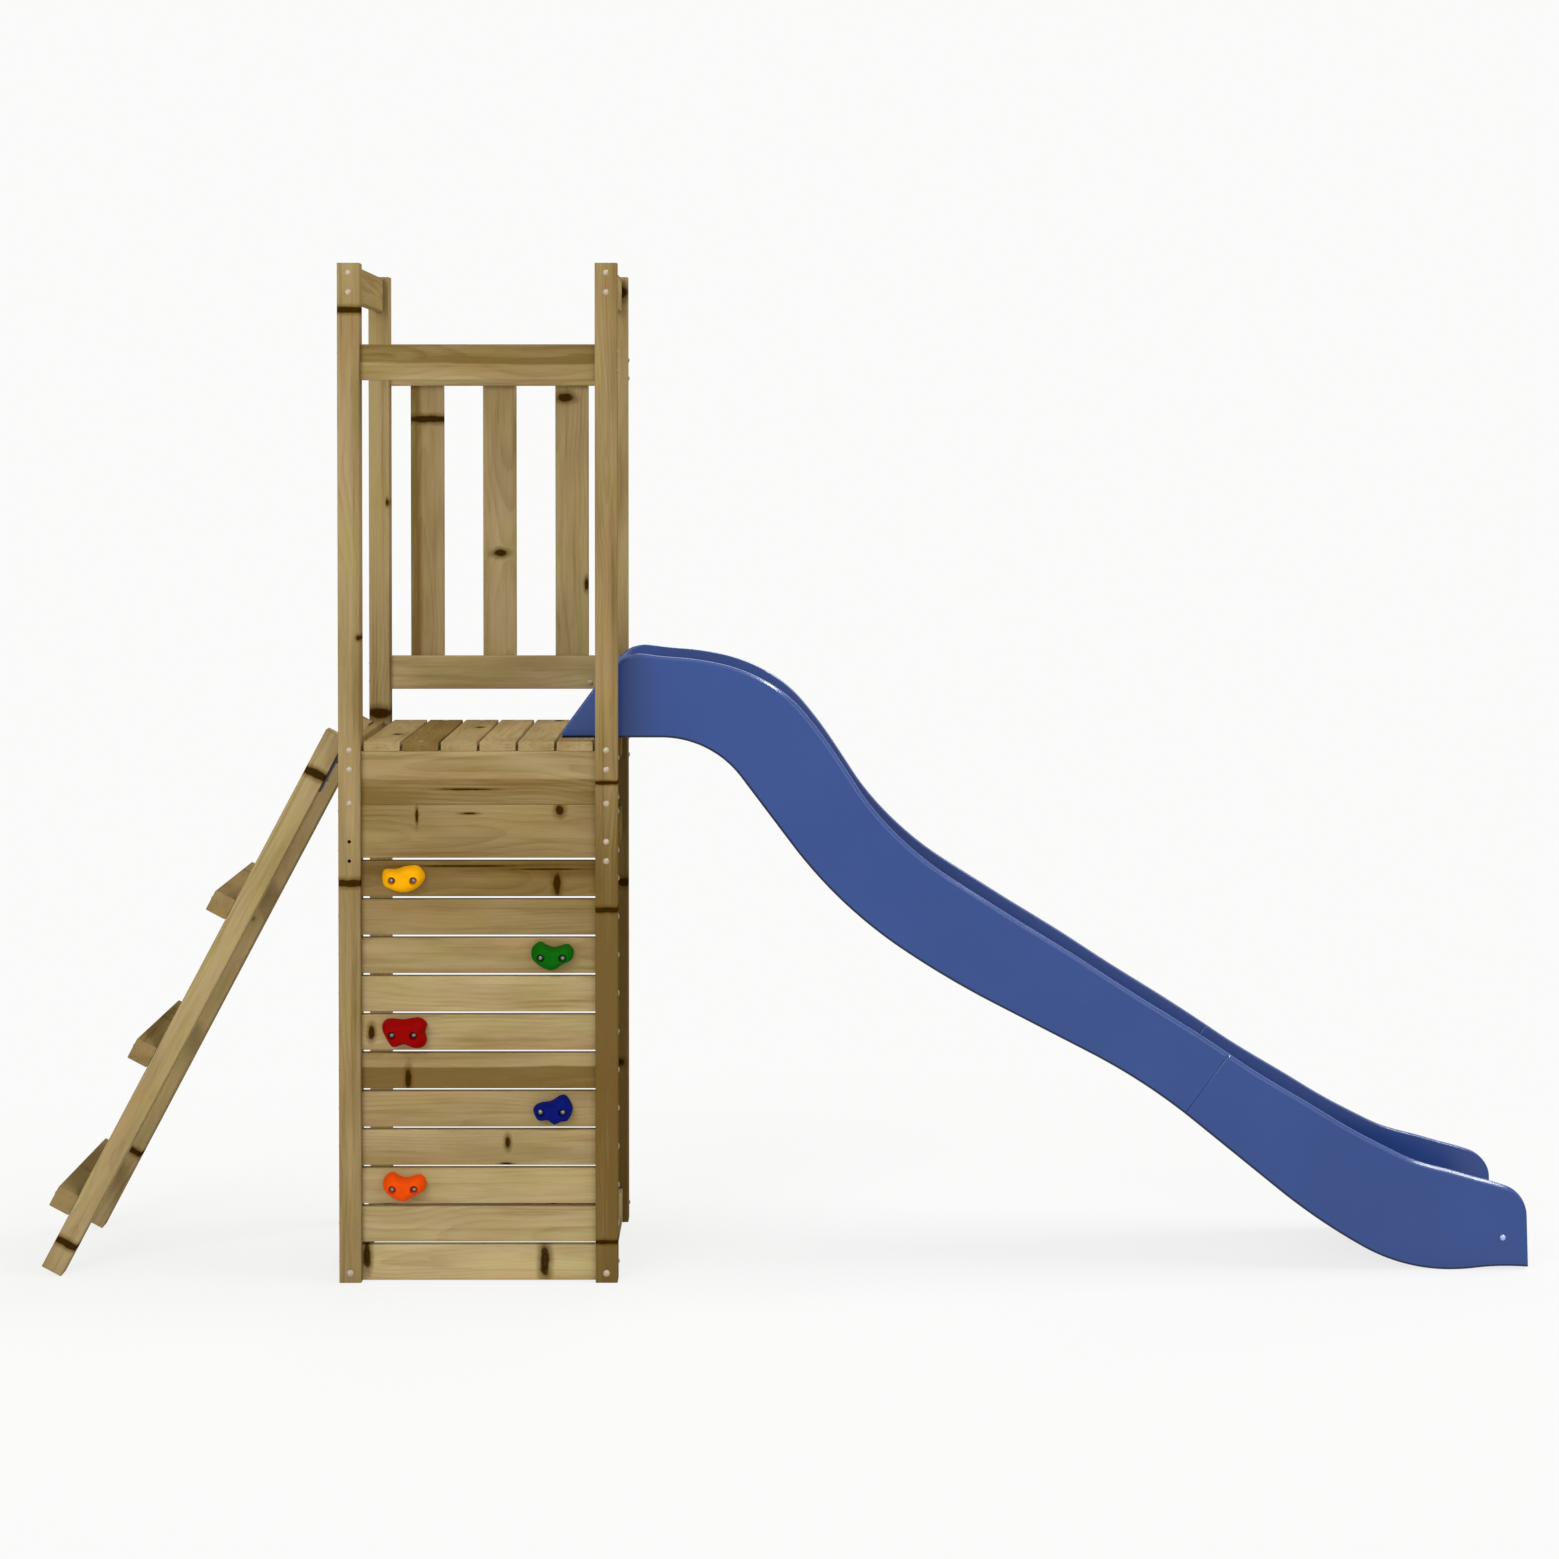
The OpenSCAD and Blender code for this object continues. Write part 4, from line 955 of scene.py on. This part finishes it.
def make_hold(colour):
    node = f"hold_{colour}"
    low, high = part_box(node)
    back_y = high.y
    edge = hold_outline(OUTLINES[colour], high - low)
    xs, zs = zip(*edge)
    x0 = (low.x + high.x) / 2 - (min(xs) + max(xs)) / 2
    z0 = (low.z + high.z) / 2 - (min(zs) + max(zs)) / 2
    material = make_hold_plastic(node, *HOLD_COLOURS[colour])
    raw = finish_mesh(node + "_raw", *hold_shell(edge, x0, back_y, z0), material, SHARP_RAW)
    for side in (-1, 1):
        x = x0 + side * BOLT_OUT
        for radius, start in ((HEAD_BORE, BOLT_SEAT), (SHANK_BORE, -OVERRUN)):
            cut_away(raw, bore(node + "_cutter", radius, x, back_y, z0, start, HOLD_DEPTH + OVERRUN))
    vertices = [vertex.co[:] for vertex in raw.data.vertices]
    faces = [face.vertices[:] for face in raw.data.polygons]
    piece = finish_mesh(node + "_body", vertices, faces, material, SHARP_HOLD)
    bpy.data.objects.remove(raw)
    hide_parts(node)
    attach(piece, "root")


for colour in OUTLINES:
    make_hold(colour)

# A short screw on the inner face of the back lower rail. Its profile has the radii and heights of the head
RAIL_SCREW_RIGHT = 0.187
RAIL_SCREW_UP = 0.013
RAIL_SCREW_CLEAR = 0.0002
RAIL_SCREW_SIDES = 32
RAIL_SCREW_PROFILE = ((0.0058, 0.0), (0.0056, 0.0012), (0.0048, 0.0021), (0.0034, 0.0027), (0.0022, 0.0030),
                      (0.0018, 0.0019))
SHARP_SCREW = 40


def make_rail_screw():
    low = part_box("back_lower_rail")[0]
    centre = Vector((TOWER_X + RAIL_SCREW_RIGHT, low.y - RAIL_SCREW_CLEAR, low.z + RAIL_SCREW_UP))
    count = RAIL_SCREW_SIDES
    turns = [2 * math.pi * k / count for k in range(count)]
    vertices = []
    for radius, out in RAIL_SCREW_PROFILE:
        ring = arc((centre.x, centre.z), radius, turns)
        vertices += [(x, centre.y - out, z) for x, z in ring]
    last = len(vertices) - count
    faces = strip_faces(len(RAIL_SCREW_PROFILE), count)
    faces.append(tuple(range(count)))
    faces.append(tuple(last + k for k in range(count)))
    piece = finish_mesh("rail_screw", vertices, faces, screw_steel, SHARP_SCREW)
    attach(piece, "root")


make_rail_screw()

# Floor and world: white to the camera, with the object's shadow, and pale and plain for all other light
WHITE = (0.96, 0.96, 0.955, 1)
FLOOR_PALE = (0.82, 0.82, 0.81, 1)
FLOOR_SIDE = 40
FLOOR_FRONT = -12
FLOOR_BACK = 60
SHADOW_SCALE = (0.45, 0.75, 0.0)
SHADOW_NEAR = 0.5
SHADOW_FAR = 1.3
SHADOW_COVER = 0.82
AMBIENT = 0.34


def direct_rays(tree):
    """1 for rays from the camera, from a mirror or through glass, and 0 for scattered light."""
    rays = put(tree, "ShaderNodeLightPath").outputs
    seen = calc(tree, "MAXIMUM", rays["Is Camera Ray"], rays["Is Glossy Ray"])
    return calc(tree, "MAXIMUM", seen, rays["Is Transmission Ray"])


def make_floor_material():
    material, tree, shader = new_material("floor")
    tree.nodes.remove(shader)
    matte = put(tree, "ShaderNodeBsdfDiffuse", {"Color": FLOOR_PALE})
    white = put(tree, "ShaderNodeEmission", {"Color": WHITE, "Strength": 1.0})
    away = vector_length(tree, vector_calc(tree, "MULTIPLY", object_place(tree), SHADOW_SCALE))
    cover = ramp(tree, away, SHADOW_NEAR, SHADOW_FAR, SHADOW_COVER, 1.0)
    cover = calc(tree, "MULTIPLY", direct_rays(tree), cover)
    both = put(tree, "ShaderNodeMixShader", {0: cover, 1: matte.outputs[0], 2: white.outputs[0]})
    tree.links.new(both.outputs[0], tree.nodes["Material Output"].inputs["Surface"])
    return material


def make_floor():
    mesh = bpy.data.meshes.new("floor")
    front = [(-FLOOR_SIDE, FLOOR_FRONT, 0), (FLOOR_SIDE, FLOOR_FRONT, 0)]
    back = [(FLOOR_SIDE, FLOOR_BACK, 0), (-FLOOR_SIDE, FLOOR_BACK, 0)]
    mesh.from_pydata(front + back, [], [(0, 1, 2, 3)])
    mesh.materials.append(make_floor_material())
    floor = bpy.data.objects.new("floor", mesh)
    scene.collection.objects.link(floor)


def make_world():
    world = bpy.data.worlds.new("world")
    scene.world = world
    world.use_nodes = True
    tree = world.node_tree
    tree.nodes.remove(tree.nodes["Background"])
    backdrop = put(tree, "ShaderNodeBackground", {"Color": WHITE, "Strength": 1.0})
    ambient = put(tree, "ShaderNodeBackground", {"Color": (1.0, 1.0, 1.0, 1), "Strength": AMBIENT})
    sides = {0: direct_rays(tree), 1: ambient.outputs[0], 2: backdrop.outputs[0]}
    both = put(tree, "ShaderNodeMixShader", sides)
    tree.links.new(both.outputs[0], tree.nodes["World Output"].inputs["Surface"])


make_floor()
make_world()

# Lamps: place, target, width and height, and power in watts
LAMPS = {
    "key": ((-3.2, -5.4, 3.8), (0.2, 0.0, 0.8), (3.5, 3.5), 215),
    "fill": ((3.4, -5.4, 2.6), (0.2, 0.0, 0.8), (3.0, 3.0), 60),
    "top": ((0.0, 0.2, 5.6), (0.0, 0.0, 0.5), (5.0, 4.0), 20),
    "back": ((0.5, 5.0, 3.6), (0.0, 0.0, 0.8), (4.0, 3.0), 70),
    "strip": ((16.7, 0.5, 25.9), (0.8, 0.0, 0.5), (18.0, 3.2), 6000),
}


def add_lamp(name, place, target, size, power):
    data = bpy.data.lights.new(name, "AREA")
    data.shape = "RECTANGLE"
    data.size, data.size_y = size
    data.energy = power
    lamp = bpy.data.objects.new(name, data)
    lamp.location = place
    lamp.rotation_euler = (Vector(target) - Vector(place)).to_track_quat("-Z", "Y").to_euler()
    scene.collection.objects.link(lamp)


for name, settings in LAMPS.items():
    add_lamp(name, *settings)
